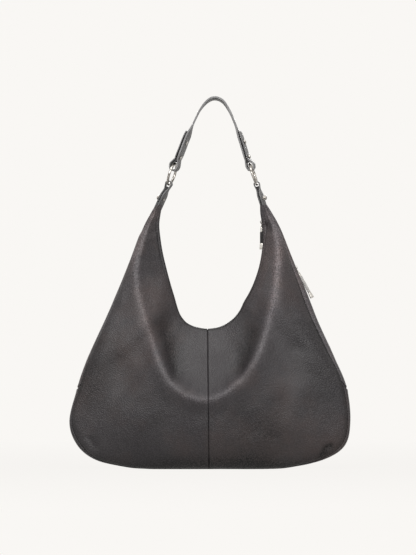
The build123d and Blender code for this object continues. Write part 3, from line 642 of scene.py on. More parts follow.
def shape_face(bm, stations, shares, face, folds, seed, sink):
    """Shapes a grid to a face of the bag, sunk by a distance behind it. Gives the points, how
    fully each lies on the open face, how far it rises along its normal, and its painted light and
    shade."""
    points = on_net(NETS[face], stations, shares)
    lean = np.exp(-np.abs(points[:, 0] - SEAM_X) / 60)
    points[:, 0] += (seam_line(points[:, 2]) - SEAM_X) * lean
    move_to(bm, points)
    turn_outwards(bm, lambda at: Vector((0, face, 0)))
    z = points[:, 2]
    height, pull = fold_relief(points[:, 0], z, folds)
    height += hide_relief(points, seed)
    # Painted darker on the rolled rim, and painted shade along the seam to the gusset and close to
    # the floor.
    up_neck = np.abs(stations - LAST)
    off_tip = ramp(up_neck, 12.3, 10.8)
    pull -= 0.9 * ramp(shares, 4.6, 3.8) * off_tip
    pull -= (0.4 + 0.7 * ramp(z, *SIDE_SHADE)) * ramp(shares, 13.9, 14.5) * off_tip
    pull -= 0.5 * hump(z, 0, 20) + 0.5 * hump(z, 0, 8)
    # Up the necks a groove runs beside the mouth. The roll between them is painted lighter, a
    # painted highlight, and the groove darker, a painted shade.
    from_mouth = np.hypot(*(points - along(MOUTH, stations))[:, [0, 2]].T)
    strip = ramp(up_neck, 7, 9) * ramp(up_neck, 12, 11) * (shares > 3)
    groove = hump(from_mouth, RIM_GROOVE, RIM_GROOVE_HALF) * strip
    height -= 0.9 * groove
    pull += 0.9 * hump(from_mouth, RIM_GROOVE - 2.2, 1.2) * strip - 1.1 * groove
    on_face = ramp(shares, 3.5, 6) * ramp(shares, 15.2, 13.6)
    return points, on_face, height * on_face - sink, pull


def keep_painted_light(bm, pull):
    """Keeps the painted light and shade at each corner in the attribute "pull", for the leather's
    colour to read.
    """
    layer = bm.verts.layers.float.new("pull")
    for v, share in zip(bm.verts, pull):
        v[layer] = share


def raise_along_normals(bm, height):
    """Moves each corner along its normal by its height."""
    for v, h in zip(bm.verts, height):
        v.co += v.normal * h


def panel(name, side, face, folds, seed):
    """A panel from the middle seam to its gusset, on one side of one face."""
    bm, run, depth = grid(*PANEL_GRID)
    stations = LAST + side * LAST * run**SEAM_PACE
    shares = paced(depth, PROFILE_PACE)
    points, on_face, height, pull = shape_face(bm, stations, shares, face, folds, seed, 0)
    z = points[:, 2]
    beside = np.abs(points[:, 0] - seam_line(z))
    # The seam's slit, the leather's dip towards it, and the puckers of its stitches.
    height -= 1.5 * hump(beside, 0, 0.7) + 0.6 * hump(beside, 0, 7) * on_face
    height += 0.12 * np.sin(z / 1.9) * hump(beside, 3, math.sqrt(6)) * on_face
    raise_along_normals(bm, height)
    keep_painted_light(bm, pull)
    with_wall(finished(name, bm, leather), LEATHER_WALL)


for side, side_name in ((-1, "left"), (1, "right")):
    panel(f"front_panel_{side_name}", side, -1, FRONT_FOLDS, 1)
    panel(f"back_panel_{side_name}", side, 1, BACK_FOLDS, 2)


# ---- Gussets -------------------------------------------------------------------------------
GUSSET_NET = gusset_net()
GUSSET_ROWS = 60
# How far the gussets are painted lighter up their sides, a painted highlight.
GUSSET_PAINTED_LIGHT = 0.7
# The right gusset is pressed in under the run of the side zip's pull, between these heights.
PULL_RUN_PRESS = 1.7
PULL_RUN_LOW, PULL_RUN_HIGH = (180, 200), (275, 260)


def gusset(name, first, last, columns, seed):
    """A strip of leather that closes the bag between its panels, between two stations."""
    bm, run, depth = grid(columns, GUSSET_ROWS)
    # The columns crowd towards both ends, where the strip dips to its cross seams.
    spread = run - 0.85 * np.sin(2 * math.pi * run) / (2 * math.pi)
    stations = LAST + first + (last - first) * spread
    shares = paced(depth, GUSSET_PACE)
    points = on_net(GUSSET_NET, stations, shares)
    move_to(bm, points)
    turn_outwards(bm, lambda at: at - BODY_MIDDLE)
    z = points[:, 2]
    on_face = ramp(shares, 1.2, 2.7) * ramp(shares, 9.8, 8.3)
    height = 0.5 * hide_relief(points, seed) * on_face
    from_end = np.minimum(spread, 1 - spread) * abs(last - first) * 50
    height -= 2.2 * hump(from_end, 0, 1.3) - 0.6 * hump(from_end, 0, 5)
    if name == "side_gusset_right":
        pressed = eased(z, *PULL_RUN_LOW) * eased(z, *PULL_RUN_HIGH)
        height -= PULL_RUN_PRESS * hump(points[:, 1], 0, 8) * pressed
    raise_along_normals(bm, height)
    for v in bm.verts:
        v.co.z = max(v.co.z, 0.0)
    # Painted lighter up the sides and lightest beside the seams, a painted highlight; painted
    # darkest in the seams and at the floor, a painted shade.
    from_seam = np.minimum(shares, len(GUSSET_PACE) - shares)
    edges = 1.1 * hump(from_seam, 2.2, 0.9) - 1.6 * np.clip(1.35 - from_seam, 0, 0.8)
    pull = GUSSET_PAINTED_LIGHT * ramp(z, 60, 210) + edges * ramp(z, *SIDE_SHADE)
    keep_painted_light(bm, pull - 0.7 * hump(z, 0, 14))
    return bm


def cut_slot(bm, middle, up, half_length, half_width):
    """Opens a slot that runs up a strip of leather."""
    cuts = [(up, half_length), (-up, half_length), (ACROSS, half_width), (-ACROSS, half_width)]
    for normal, distance in cuts:
        bmesh.ops.bisect_plane(
            bm, geom=bm.verts[:] + bm.edges[:] + bm.faces[:], dist=1e-4,
            plane_co=middle + normal * distance, plane_no=normal,
        )
    inside = [
        f
        for f in bm.faces
        if all(normal.dot(f.calc_center_median() - middle) < distance for normal, distance in cuts)
    ]
    bmesh.ops.delete(bm, geom=inside, context="FACES")


# The side zip lies along the line between these two places on the right edge.
SIDE_LOW, SIDE_HIGH = Vector((168.74, 0, 231.7)), Vector((109.12, 0, 376.0))
SIDE_UP = (SIDE_HIGH - SIDE_LOW).normalized()
SIDE_OUT = SIDE_UP.cross(-ACROSS)
ZIP_SINK = 2.3
SIDE_ZIP_TOP = 355
SIDE_ZIP_LENGTH = 124.0
SLOT_HALF_WIDTH = 4.8


def side_zip_point(height):
    """The middle of the side zip's coil at a height."""
    on_edge = SIDE_LOW + SIDE_UP * ((height - SIDE_LOW.z) / SIDE_UP.z)
    return on_edge - SIDE_OUT * ZIP_SINK


side_zip_top = side_zip_point(SIDE_ZIP_TOP)
side_zip_low = side_zip_top - SIDE_UP * SIDE_ZIP_LENGTH
side_zip_middle = side_zip_top - SIDE_UP * SIDE_ZIP_LENGTH / 2

for name, first, last, columns, seed in (
    ("base_gusset", -6, 6, 220, 3),
    ("side_gusset_left", -6, -13, 150, 4),
    ("side_gusset_right", 6, 13, 150, 5),
):
    bm = gusset(name, first, last, columns, seed)
    if name == "side_gusset_right":
        cut_slot(bm, side_zip_middle, SIDE_UP, SIDE_ZIP_LENGTH / 2, SLOT_HALF_WIDTH)
    with_wall(finished(name, bm, leather), LEATHER_WALL)


# ---- Lining --------------------------------------------------------------------------------
LINING_WALL = 0.5
LINING_SINK = 4.8
LINING_COLUMNS = 150
# How far up the necks the lining goes, in stations, and its gusset, which ends below the side zip.
LINING_LAST = 10
LINING_GUSSET_LAST = 7


def lining_face(name, face, folds, seed):
    """One face of the lining, which follows the panels outside it."""
    bm, run, depth = grid(LINING_COLUMNS, 70)
    shares = paced(0.1 + 0.84 * depth, PROFILE_PACE)
    stations = LAST + LINING_LAST * (2 * run - 1)
    height = shape_face(bm, stations, shares, face, folds, seed, LINING_SINK)[2]
    raise_along_normals(bm, height)
    with_wall(finished(name, bm, lining_cloth), LINING_WALL)


lining_face("lining_front", -1, FRONT_FOLDS, 1)
lining_face("lining_back", 1, BACK_FOLDS, 2)
bm, run, depth = grid(LINING_COLUMNS, 24)
stations = LAST - LINING_LAST + run * (LINING_LAST + LINING_GUSSET_LAST)
move_to(bm, on_net(GUSSET_NET, stations, paced(0.1 + 0.8 * depth, GUSSET_PACE)))
turn_outwards(bm, lambda at: at - BODY_MIDDLE)
raise_along_normals(bm, np.full(len(bm.verts), -3.0))
with_wall(finished("lining_gusset", bm, lining_cloth), LINING_WALL)


# ---- Small builders ------------------------------------------------------------------------
def axes(origin, x_dir, z_dir):
    """A matrix whose place and axes are these."""
    x, z = Vector(x_dir).normalized(), Vector(z_dir).normalized()
    matrix = Matrix((x, z.cross(x), z)).transposed().to_4x4()
    matrix.translation = origin
    return matrix


def swept(bm, path, widths, normals, section):
    """A closed section carried along a path: shares of the width and normal at each step."""
    made = bmesh.ops.create_grid(
        bm, x_segments=len(path) - 1, y_segments=len(section), size=1
    )["verts"]
    for v in made:
        i = round((v.co.x + 1) / 2 * (len(path) - 1))
        j = round((v.co.y + 1) / 2 * len(section)) % len(section)
        v.co = path[i] + widths[i] * section[j][0] + normals[i] * section[j][1]
    bmesh.ops.remove_doubles(bm, verts=made, dist=1e-5)
    made = [v for v in made if v.is_valid]
    open_edges = list({e for v in made for e in v.link_edges if e.is_boundary})
    bmesh.ops.holes_fill(bm, edges=open_edges, sides=0)
    faces = list({f for v in made for f in v.link_faces})
    bmesh.ops.recalc_face_normals(bm, faces=faces)


ROD_SIDES = 8


def rod(bm, points, radius):
    """A round wire along points that lie in one plane."""
    steps = steps_along(points)
    square = Vector((0, 0, 0))
    for a, b in zip(steps, steps[1:]):
        square += a.cross(b)
    square.normalize()
    normals = [s.cross(square) for s in steps]
    turns = [2 * math.pi * k / ROD_SIDES for k in range(ROD_SIDES)]
    section = [(radius * math.cos(turn), radius * math.sin(turn)) for turn in turns]
    swept(bm, points, [square] * len(points), normals, section)


def rounded_block(bm, matrix, size, edge, low_width=1.0):
    """A block with rounded edges, its lower end's width scaled."""
    made = bmesh.ops.create_cube(bm, size=1, matrix=Matrix.Diagonal((*size, 1)))["verts"]
    for v in made:
        if v.co.z < 0:
            v.co.y *= low_width
    edges = list({e for v in made for e in v.link_edges})
    rounded = bmesh.ops.bevel(
        bm, geom=edges, offset=edge, offset_type="OFFSET", segments=3, profile=0.5,
        affect="EDGES", material=-1,
    )
    moved = list({v for f in rounded["faces"] for v in f.verts} | {v for v in made if v.is_valid})
    bmesh.ops.transform(bm, matrix=matrix, verts=moved)


def turned(bm, matrix, outline):
    """A turned shape from its outline of radii and heights, both ends on the axis. The tags keep
    the shapes that the mesh held before as they are."""
    corners = [bm.verts.new((radius, 0, height)) for radius, height in outline]
    edges = [bm.edges.new(pair) for pair in zip(corners, corners[1:])]
    bmesh.ops.spin(
        bm, geom=corners + edges, cent=(0, 0, 0), axis=(0, 0, 1), dvec=(0, 0, 0),
        angle=2 * math.pi, steps=28, use_merge=True,
    )
    shape = [v for v in bm.verts if not v.tag]
    bmesh.ops.remove_doubles(bm, verts=shape, dist=1e-4)
    shape = [v for v in shape if v.is_valid]
    faces = list({f for v in shape for f in v.link_faces})
    bmesh.ops.recalc_face_normals(bm, faces=faces)
    bmesh.ops.transform(bm, matrix=matrix, verts=shape)
    for v in bm.verts:
        v.tag = True


def lens(bm, at, way, up, half_size):
    """A small rounded lens, for a stitch or a tooth: its place, two of its axes and its size."""
    shape = axes(at, way, up) @ Matrix.Diagonal((*half_size, 1))
    bmesh.ops.create_uvsphere(bm, u_segments=6, v_segments=4, radius=1, matrix=shape)


def stitches(name, rows, body, pitch, length, radius):
    """Rows of stitches along lines of points, each with the way up from the leather."""
    bm = bmesh.new()
    for points, ups in rows:
        steps = [(b - a).length for a, b in zip(points, points[1:])]
        marks = np.concatenate([[0], np.cumsum(steps)])
        for at in np.arange(pitch / 2, marks[-1], pitch):
            k = min(int(np.searchsorted(marks, at)), len(points) - 1)
            spot = points[k - 1].lerp(points[k], (at - marks[k - 1]) / steps[k - 1])
            lens(bm, spot, points[k] - points[k - 1], ups[k], (length / 2, radius, radius))
    finished(name, bm, thread, body)


# ---- Rings ---------------------------------------------------------------------------------
for name in ("mouth_zip_link", "side_zip_link"):
    link = frame["nodes"][name].data
    link.materials.clear()
    link.materials.append(nickel)
    for face in link.polygons:
        face.use_smooth = True

RING_HEIGHT = 462
RING_RADIUS = 17
RING_WIRE = 2
# How far a ring swings each way as the strap drops.
RING_SWING = 17.5
# Each ring's place, lean to the right, and turn about its upright line.
RINGS = {"left": (-58.8, 18, 14), "right": (68.8, -19, 6)}
# The room left between a ring's wire and the leather that loops round it.
LOOP_ROOM = 0.3


def leaned(lean):
    """The way up, leaned to the right."""
    return Vector((math.sin(math.radians(lean)), 0, math.cos(math.radians(lean))))


def ring_centre(side_name):
    """The middle of a ring."""
    return Vector((RINGS[side_name][0], 0, RING_HEIGHT))


def ring(side_name):
    """A round wire ring."""
    _, lean, yaw = RINGS[side_name]
    bm = bmesh.new()
    section = Matrix.Translation((RING_RADIUS, 0, 0)) @ Matrix.Rotation(math.pi / 2, 4, "X")
    bmesh.ops.create_circle(bm, segments=14, radius=RING_WIRE, matrix=section)
    bmesh.ops.spin(
        bm, geom=bm.verts[:] + bm.edges[:], cent=(0, 0, 0), axis=(0, 0, 1), dvec=(0, 0, 0),
        angle=2 * math.pi, steps=72, use_merge=True,
    )
    bmesh.ops.remove_doubles(bm, verts=bm.verts, dist=1e-4)
    bmesh.ops.recalc_face_normals(bm, faces=bm.faces)
    upright = Matrix.Rotation(math.radians(90 + lean), 4, "Y")
    turned_by = Matrix.Rotation(math.radians(yaw), 4, "X")
    matrix = Matrix.Translation(ring_centre(side_name)) @ upright @ turned_by
    bmesh.ops.transform(bm, matrix=matrix, verts=bm.verts)
    finished(f"ring_{side_name}", bm, nickel)


ring("left")
ring("right")


def loop_half_gap(width, side_name, turn):
    """Half the room that a ring's wire needs in a leather loop of this width, turned with it."""
    _, lean, yaw = RINGS[side_name]
    tilt = math.sin(math.radians(RING_SWING))
    swing = abs(yaw + turn) + abs(lean) * tilt
    shift = RING_RADIUS * math.sin(math.radians(yaw)) * tilt
    return RING_WIRE + width / 2 * math.sin(math.radians(swing)) + shift + LOOP_ROOM


def wire_height(width):
    """How far from a ring's centre its wire is at the edges of a loop of this width."""
    return math.sqrt(RING_RADIUS**2 - (width / 2) ** 2)


def shaded_leaf_filler(name, body, low, high, aside, across_half, low_half, high_half):
    """A wedge of near-black leather glued between two leaves, a painted shade for the gap between
    them: its ends, its half width across, and half its thickness at each end."""
    bm = bmesh.new()
    for v in bmesh.ops.create_cube(bm, size=2)["verts"]:
        out, wide, up = v.co
        end, half = (high, high_half) if up > 0 else (low, low_half)
        v.co = end + aside * out * half + across_half * wide
    bmesh.ops.recalc_face_normals(bm, faces=bm.faces)
    bmesh.ops.bevel(
        bm, geom=bm.edges[:], offset=0.15, segments=2, profile=0.5, material=-1, affect="EDGES"
    )
    finished(name, bm, shaded_pull_leather, body, smooth=False)


# ---- Tabs and studs ------------------------------------------------------------------------
TAB_WIDTH = 18
TAB_NARROW = 8.5
TAB_WALL = 1.6
TAB_STEPS = 160
# How far a tab is turned about its own line at its root. At its top it is turned with its ring.
TAB_TURN = {"left": -23, "right": -17}
# Points of one leaf: how far up the tab each is, and how far out from its middle.
TAB_LEAF = ((-9, 1.5), (0, 1.5), (10, 1.5), (19, 1.6), (26, 2.3), (32, 3.7))
NECKS = {"left": Vector((-78.9, 0, 413)), "right": Vector((84.6, 0, 413))}
STUD_HEIGHT = 11
FILLER_LOW = 15
FILLER_TOP = {"left": 32.2, "right": 31.2}
TAB_SECTION = [
    (-8.7, -1.4), (0, -1.45), (8.7, -1.4), (9, -1), (9.1, 0), (9, 1), (8.6, 1.4), (7.4, 1.45),
    (6.9, 1.2), (6.4, 1.46), (0, 1.6), (-6.4, 1.46), (-6.9, 1.2), (-7.4, 1.45), (-8.6, 1.4),
    (-9, 1), (-9.1, 0), (-9, -1),
]
# The grooves in that section, where the stitches lie, and the height of the stitches.
TAB_STITCHES = 6.9
TAB_STITCH_HEIGHT = 1.25
STUD_OUTLINE = [
    (0, -4.1), (1.8, -4.1), (2.3, -3.9), (2.4, -3.5), (2.3, -3.2), (1.4, -3.2), (1.4, 3.2),
    (3.2, 3.2), (3.4, 3.5), (3.3, 3.9), (2.6, 4.1), (1.9, 4.3), (1.85, 4.9), (2.6, 5.4),
    (3.5, 5.9), (3.9, 6.6), (3.8, 7.4), (3.2, 8.2), (2.2, 8.8), (1, 9.1), (0, 9.15),
]


def tab(side_name, outward):
    """A strap of leather folded over a ring, sewn down both edges and held by a stud."""
    _, lean, yaw = RINGS[side_name]
    neck, centre, up = NECKS[side_name], ring_centre(side_name), leaned(lean)
    wire = centre - up * wire_height(TAB_NARROW)
    way = (centre - up * RING_RADIUS - neck).normalized()
    aside = ACROSS.cross(way)
    radius = loop_half_gap(TAB_NARROW, side_name, -yaw) + TAB_WALL / 2
    leaf = {}
    for side in (1, -1):
        leaf[side] = [neck + way * up_tab + aside * side * out for up_tab, out in TAB_LEAF]
        for turn in np.radians((80, 60, 40, 20)):
            round_wire = aside * side * math.sin(turn) + way * math.cos(turn)
            leaf[side].append(wire + round_wire * radius)
    points = [list(p) for p in [*leaf[1], wire + way * radius, *leaf[-1][::-1]]]
    path = [Vector(p) for p in along(points, np.linspace(0, len(points) - 1, TAB_STEPS + 1))]
    normals = [s.cross(ACROSS) for s in steps_along(path)]
    outwards = 1 if normals[TAB_STEPS // 2].dot(way) > 0 else -1
    # Up the tab it turns with its ring, and grows narrower and thinner to pass through it.
    shares = [eased((p - neck).dot(way), 16, 31) for p in path]
    turns = [
        Matrix.Rotation(math.radians(TAB_TURN[side_name] * (1 - share) - yaw * share), 3, way)
        for share in shares
    ]
    path = [neck + turn @ (p - neck) for p, turn in zip(path, turns)]
    normals = [
        turn @ n * outwards * (1 - 0.46 * share) for n, turn, share in zip(normals, turns, shares)
    ]
    slimmed = 1 - TAB_NARROW / TAB_WIDTH
    wides = [turn @ ACROSS * (1 - slimmed * share) for turn, share in zip(turns, shares)]
    bm = bmesh.new()
    swept(bm, path, wides, normals, TAB_SECTION)
    bm.normal_update()
    # Painted shade between the leaves; outside them, painted darker near the neck and lighter up
    # towards the ring, a painted highlight.
    wide = turns[0] @ ACROSS
    tab_painted_light = []
    for v in bm.verts:
        off = v.co - neck
        up_tab = min(off.dot(way), (wire - neck).dot(way))
        off -= way * up_tab + wide * off.dot(wide)
        inside = v.normal.dot(off) < -0.3 * off.length
        tab_painted_light.append(-1.9 if inside else 0.3 - 0.9 * eased(up_tab, 22, 2))
    keep_painted_light(bm, tab_painted_light)
    finished(f"tab_{side_name}", bm, lightened_strap_leather)
    spun = Matrix.Rotation(math.radians(0.4 * TAB_TURN[side_name] - 0.6 * yaw), 3, way)
    # A near-black wedge between the tab's leaves, a painted shade.
    shaded_leaf_filler(
        f"tab_filler_{side_name}", "bag", neck + way * FILLER_LOW,
        neck + way * FILLER_TOP[side_name], spun @ aside, spun @ ACROSS * TAB_NARROW * 0.46,
        0.1, 2.6,
    )
    rows = [
        ([p + w * edge + n * TAB_STITCH_HEIGHT for p, w, n in zip(path, wides, normals)], normals)
        for edge in (-TAB_STITCHES, TAB_STITCHES)
    ]
    stitches(f"tab_stitching_{side_name}", rows, "bag", 2.8, 2.1, 0.25)
    stud = bmesh.new()
    stud_axes = axes(neck + way * STUD_HEIGHT, wide, turns[0] @ aside * outward)
    turned(stud, stud_axes, STUD_OUTLINE)
    finished(f"stud_{side_name}", stud, nickel)


tab("left", -1)
tab("right", 1)


# ---- Strap ---------------------------------------------------------------------------------
LEGS = {
    "left": [(-46.4, 488), (-41.9, 499.5), (-37.6, 511), (-34.2, 519.5), (-31, 528)],
    "right": [(56.6, 488), (53.3, 499.5), (49.8, 511), (47.2, 519.5), (44.5, 528)],
}
CROWN = [
    (-23.2, 546), (-13.9, 564), (-2.4, 577), (8.8, 581), (21, 576), (31, 561.5), (38.4, 545),
]
CROWN_X = 8.6
STRAP_WIDTH = 24
STRAP_THICKNESS = 3.2
STRAP_STEPS = 360
# Round a ring the strap is thinned by this share and narrowed to this width.
FOLD_THIN = 0.72
STRAP_NARROW = 16
# How far above the ring's wire the loop's sides run straight, and how far below the lowest rivet
# the leaves are still held together.
THROAT = 4.5
PINCH_BELOW_RIVET = 3.5
# How far the flap lies from its leg at each of the leg's points, and its share of the thickness.
LEAF_PITCH = (4.2, 4.1, 4, 3.9, 3.8)
FLAP_THIN = 0.6
# The strap's turn about its own line on each leg, and how far its crown tips back.
STRAP_TWIST = {"left": -16, "right": -10}
CROWN_TIP = -8


def leg_point(leg, i, way, distance):
    """A point beside a leg of the strap, at a distance outwards, and the way outwards."""
    after, before = leg[min(i + 1, len(leg) - 1)], leg[max(i - 1, 0)]
    step = Vector((after[0] - before[0], 0, after[1] - before[1])).normalized()
    normal = step.cross(ACROSS) * -way
    return Vector((leg[i][0], 0, leg[i][1])) + normal * distance, normal


def strap_round(side_name):
    """The points of the strap's fold round a ring, from its left to its right."""
    up = leaned(RINGS[side_name][1])
    aside = ACROSS.cross(up)
    fold = ring_centre(side_name) + up * wire_height(STRAP_WIDTH)
    radius = loop_half_gap(STRAP_NARROW, side_name, STRAP_TWIST[side_name])
    radius += STRAP_THICKNESS * FOLD_THIN / 2 + 0.05
    points = [fold + up * THROAT - aside * radius]
    for turn in np.radians((-90, -135, 180, 135, 90)):
        points.append(fold + (up * math.cos(turn) + aside * math.sin(turn)) * radius)
    return [*points, fold + up * THROAT + aside * radius]


def pinched(leaf):
    """A leaf's points from its end at the crown down, held together a little below the last."""
    return leaf + [leaf[-1] + (leaf[-1] - leaf[-2]).normalized() * PINCH_BELOW_RIVET]


def leaves(side_name, way):
    """The leg itself and the flap that is turned up beside it, from the crown down."""
    leg = LEGS[side_name][::-1]
    flap = [leg_point(LEGS[side_name], i, way, pitch)[0] for i, pitch in enumerate(LEAF_PITCH)]
    return pinched([Vector((x, 0, z)) for x, z in leg]), pinched(flap[::-1])


left_leg, left_flap = leaves("left", -1)
right_leg, right_flap = leaves("right", 1)
crown = [Vector((x, 0, z)) for x, z in CROWN]
strap_line = left_flap + strap_round("left") + left_leg[::-1] + crown
strap_line += right_leg + strap_round("right") + right_flap[::-1]
STRAP_LAST = len(strap_line) - 1
strap_at = np.linspace(0, STRAP_LAST, STRAP_STEPS + 1)
strap_path = [Vector(p) for p in along([list(p) for p in strap_line], strap_at)]


def strap_across(p):
    """The strap's way across: it is turned on its legs, and narrows to pass through a ring."""
    side_name = "left" if p.x < CROWN_X else "right"
    turn = math.radians(STRAP_TWIST[side_name]) * eased(p.z, 542, 520)
    narrow = 1 - (1 - STRAP_NARROW / STRAP_WIDTH) * eased(p.z, 494, 476)
    tip = Matrix.Rotation(math.radians(CROWN_TIP) * eased(p.z, 556, 580), 3, "X")
    return tip @ Matrix.Rotation(turn, 3, leaned(RINGS[side_name][1])) @ ACROSS * narrow


# How thick the strap is at each height, as a share of its thickness: the leather is thinned
# where it turns round a ring, and the crown is the fullest.
THICK_LEFT = ((474, FOLD_THIN), (494, 0.92), (528, 0.95), (545, 0.8), (566, 0.9), (580, 1))
THICK_RIGHT = ((474, FOLD_THIN), (494, 0.92), (528, 0.95), (548, 1), (566, 1.15), (580, 1))


def strap_thickness(at, p):
    """The share of its thickness at a place, least on the two flaps turned up at the ends."""
    heights, shares = zip(*(THICK_LEFT if p.x < CROWN_X else THICK_RIGHT))
    flap = (1 - FLAP_THIN) * eased(min(at, STRAP_LAST - at), 7, 4)
    return np.interp(p.z, heights, shares) * (1 - flap)


strap_widths = [strap_across(p) for p in strap_path]
strap_normals = [
    step.cross(wide).normalized() * strap_thickness(at, p)
    for step, wide, at, p in zip(steps_along(strap_path), strap_widths, strap_at, strap_path)
]
OUTER_SECTION = [
    (-11.7, -0.05), (0, -0.05), (11.7, -0.05), (12, 0.35), (12.05, 0.8), (11.9, 1.3), (11.3, 1.6),
    (10.3, 1.68), (9.8, 1.42), (9.3, 1.7), (5, 1.85), (0, 1.9),
]
OUTER_SECTION += [(-a, b) for a, b in OUTER_SECTION[10:2:-1]]
INNER_SECTION = [(a, -b * 0.92) for a, b in OUTER_SECTION]
# The grooves in those sections, where the stitches lie, and the stitches' heights on each face.
STRAP_STITCHES = 9.8
STRAP_STITCH_HEIGHTS = ((1, 1.4), (-1, -1.28))
# How square to the side a face is before it counts as the strap's painted edge.
EDGE_FACING = 0.8

for name, section in (("strap_outer", OUTER_SECTION), ("strap_lining", INNER_SECTION)):
    bm = bmesh.new()
    swept(bm, strap_path, strap_widths, strap_normals, section)
    # The outer leaf is painted dark low on the legs, a painted shade in the gap between each leg
    # and its flap; the lining is painted a little lighter low down and darker under the crown, a
    # painted shade.
    if name == "strap_outer":
        keep_painted_light(bm, [-1.7 * eased(v.co.z, 536, 528) for v in bm.verts])
    else:
        keep_painted_light(bm, [0.3 - eased(v.co.z, 555, 572) for v in bm.verts])
    piece = finished(name, bm, lightened_strap_leather)
    piece.data.materials.append(edge_paint)
    for face in piece.data.polygons:
        face.material_index = int(abs(face.normal.y) > EDGE_FACING)

strap_rows = []
for side, height in STRAP_STITCH_HEIGHTS:
    for edge in (-STRAP_STITCHES, STRAP_STITCHES):
        row = [
            p + w * edge + n * height for p, w, n in zip(strap_path, strap_widths, strap_normals)
        ]
        strap_rows.append((row, [n * side for n in strap_normals]))
stitches("strap_stitching", strap_rows, "strap", 3, 2.3, 0.2)

for side_name, leg, flap in (("left", left_leg, left_flap), ("right", right_leg, right_flap)):
    above_wire = RING_RADIUS + RING_WIRE + 0.8
    low = ring_centre(side_name) + leaned(RINGS[side_name][1]) * above_wire
    high = (leg[-2] + flap[-2]) / 2
    wide = strap_across(low)
    aside = wide.cross(high - low).normalized()
    # A near-black wedge between each leg and its flap, a painted shade.
    shaded_leaf_filler(f"strap_filler_{side_name}", "strap", low, high, aside, wide * 11, 2.3, 0.6)

RIVET_BACK = [(0, -0.9), (2.9, -0.9), (3.5, -0.7), (3.6, -0.4), (3.4, -0.1), (1.5, 0)]
RIVET_DOME = [
    (1.5, 0), (3.5, 0), (3.8, 0.3), (3.7, 0.9), (3.1, 1.6), (2, 2.1), (0.9, 2.3), (0, 2.35),
]
LEAF_HALF = 1.7

for side_name, way in (("left", -1), ("right", 1)):
    bm = bmesh.new()
    for i in (0, 2):
        middle, normal = leg_point(LEGS[side_name], i, way, LEAF_PITCH[i] / 2)
        turn = math.radians(STRAP_TWIST[side_name])
        normal = Matrix.Rotation(turn, 3, leaned(RINGS[side_name][1])) @ normal
        grip = LEAF_PITCH[i] / 2 + LEAF_HALF
        outline = [(r, h - grip) for r, h in RIVET_BACK] + [(r, h + grip) for r, h in RIVET_DOME]
        turned(bm, axes(middle, ACROSS - normal * ACROSS.dot(normal), normal), outline)
    finished(f"strap_rivets_{side_name}", bm, nickel)


# ---- Zips ----------------------------------------------------------------------------------
ZIP_DEPTH = 2.9
TOOTH_PITCH = 1.5
TOOTH_HALF_SIZE = (0.62, 1.6, 0.9)
TOOTH_ASIDE = 1.35
TAPE_GAP = 1.9
TAPE_WALL = 0.5
# The steps along the side zip's straight lines.
SIDE_RUNS = 60
# The side zip's teeth start this far above its low end, and cover this length.
SIDE_TEETH_START, SIDE_TEETH_LENGTH = 3.2, 117.6


def teeth(bm, line, ways, outs, side):
    """One side of a coil: a tooth at each step, with the two sides' teeth set by turns."""
    steps = [(b - a).length for a, b in zip(line, line[1:])]
    marks = np.concatenate([[0], np.cumsum(steps)])
    start = TOOTH_PITCH / 2 if side > 0 else 0
    for at in np.arange(start, marks[-1], TOOTH_PITCH):
        k = min(max(int(np.searchsorted(marks, at)), 1), len(line) - 1)
        spot = line[k - 1].lerp(line[k], (at - marks[k - 1]) / steps[k - 1])
        lens(bm, spot + ACROSS * side * TOOTH_ASIDE, ways[k], outs[k], TOOTH_HALF_SIZE)


def tape(bm, line, outs, near, far):
    """A band of tape along a line, between two distances to one side."""
    half = TAPE_WALL / 2
    section = [(near, -half), (far, -half), (far, half), (near, half)]
    swept(bm, line, [ACROSS] * len(line), outs, section)


mouth_line = [Vector(p) for p in along(MOUTH, np.linspace(LAST - 12, LAST + 12, 400))]
mouth_ways = steps_along(mouth_line)
mouth_outs = [-way.cross(-ACROSS) for way in mouth_ways]
mouth_coil = [p - out * ZIP_DEPTH for p, out in zip(mouth_line, mouth_outs)]
side_shares = [k / SIDE_RUNS for k in range(SIDE_RUNS + 1)]
side_line = [side_zip_low.lerp(side_zip_top, share) for share in side_shares]
side_coil = [
    side_zip_low + SIDE_UP * (SIDE_TEETH_START + share * SIDE_TEETH_LENGTH)
    for share in side_shares
]
side_ways, side_outs = [SIDE_UP] * len(side_line), [SIDE_OUT] * len(side_line)
for end, side in (("front", -1), ("back", 1)):
    for zip_name, tape_line, coil_line, ways, outs, reach in (
        ("mouth", mouth_coil, mouth_coil, mouth_ways, mouth_outs, 7.4),
        ("side", side_line, side_coil, side_ways, side_outs, 6.8),
    ):
        bm = bmesh.new()
        tape(bm, tape_line, outs, side * TAPE_GAP, side * reach)
        finished(f"{zip_name}_zip_tape_{end}", bm, tape_cloth, smooth=False)
        bm = bmesh.new()
        teeth(bm, coil_line, ways, outs, side)
        finished(f"{zip_name}_zip_coil_{end}", bm, coil_nylon)

# Each zip's two stops: the place, the ways along and out, and how far in from the end.
ZIP_STOPS = {
    "mouth": (
        (mouth_coil[0], mouth_ways[0], mouth_outs[0], -1.5),
        (mouth_coil[-1], mouth_ways[-1], mouth_outs[-1], 1.5),
    ),
    "side": ((side_zip_low, SIDE_UP, SIDE_OUT, 1.6), (side_zip_top, SIDE_UP, SIDE_OUT, -1.6)),
}
for zip_name, ends in ZIP_STOPS.items():
    bm = bmesh.new()
    for at, way, out, shift in ends:
        rounded_block(bm, axes(at + way * shift, out, way), (1.8, 5.6, 2.4), 0.5)
    finished(f"{zip_name}_zip_stops", bm, brushed_nickel)

# How far the link hangs below a slider's bail, and the bail's height above the coil.
LINK_DROP = 5.8
BAIL_HEIGHT = 3.7
WIRE = 0.55


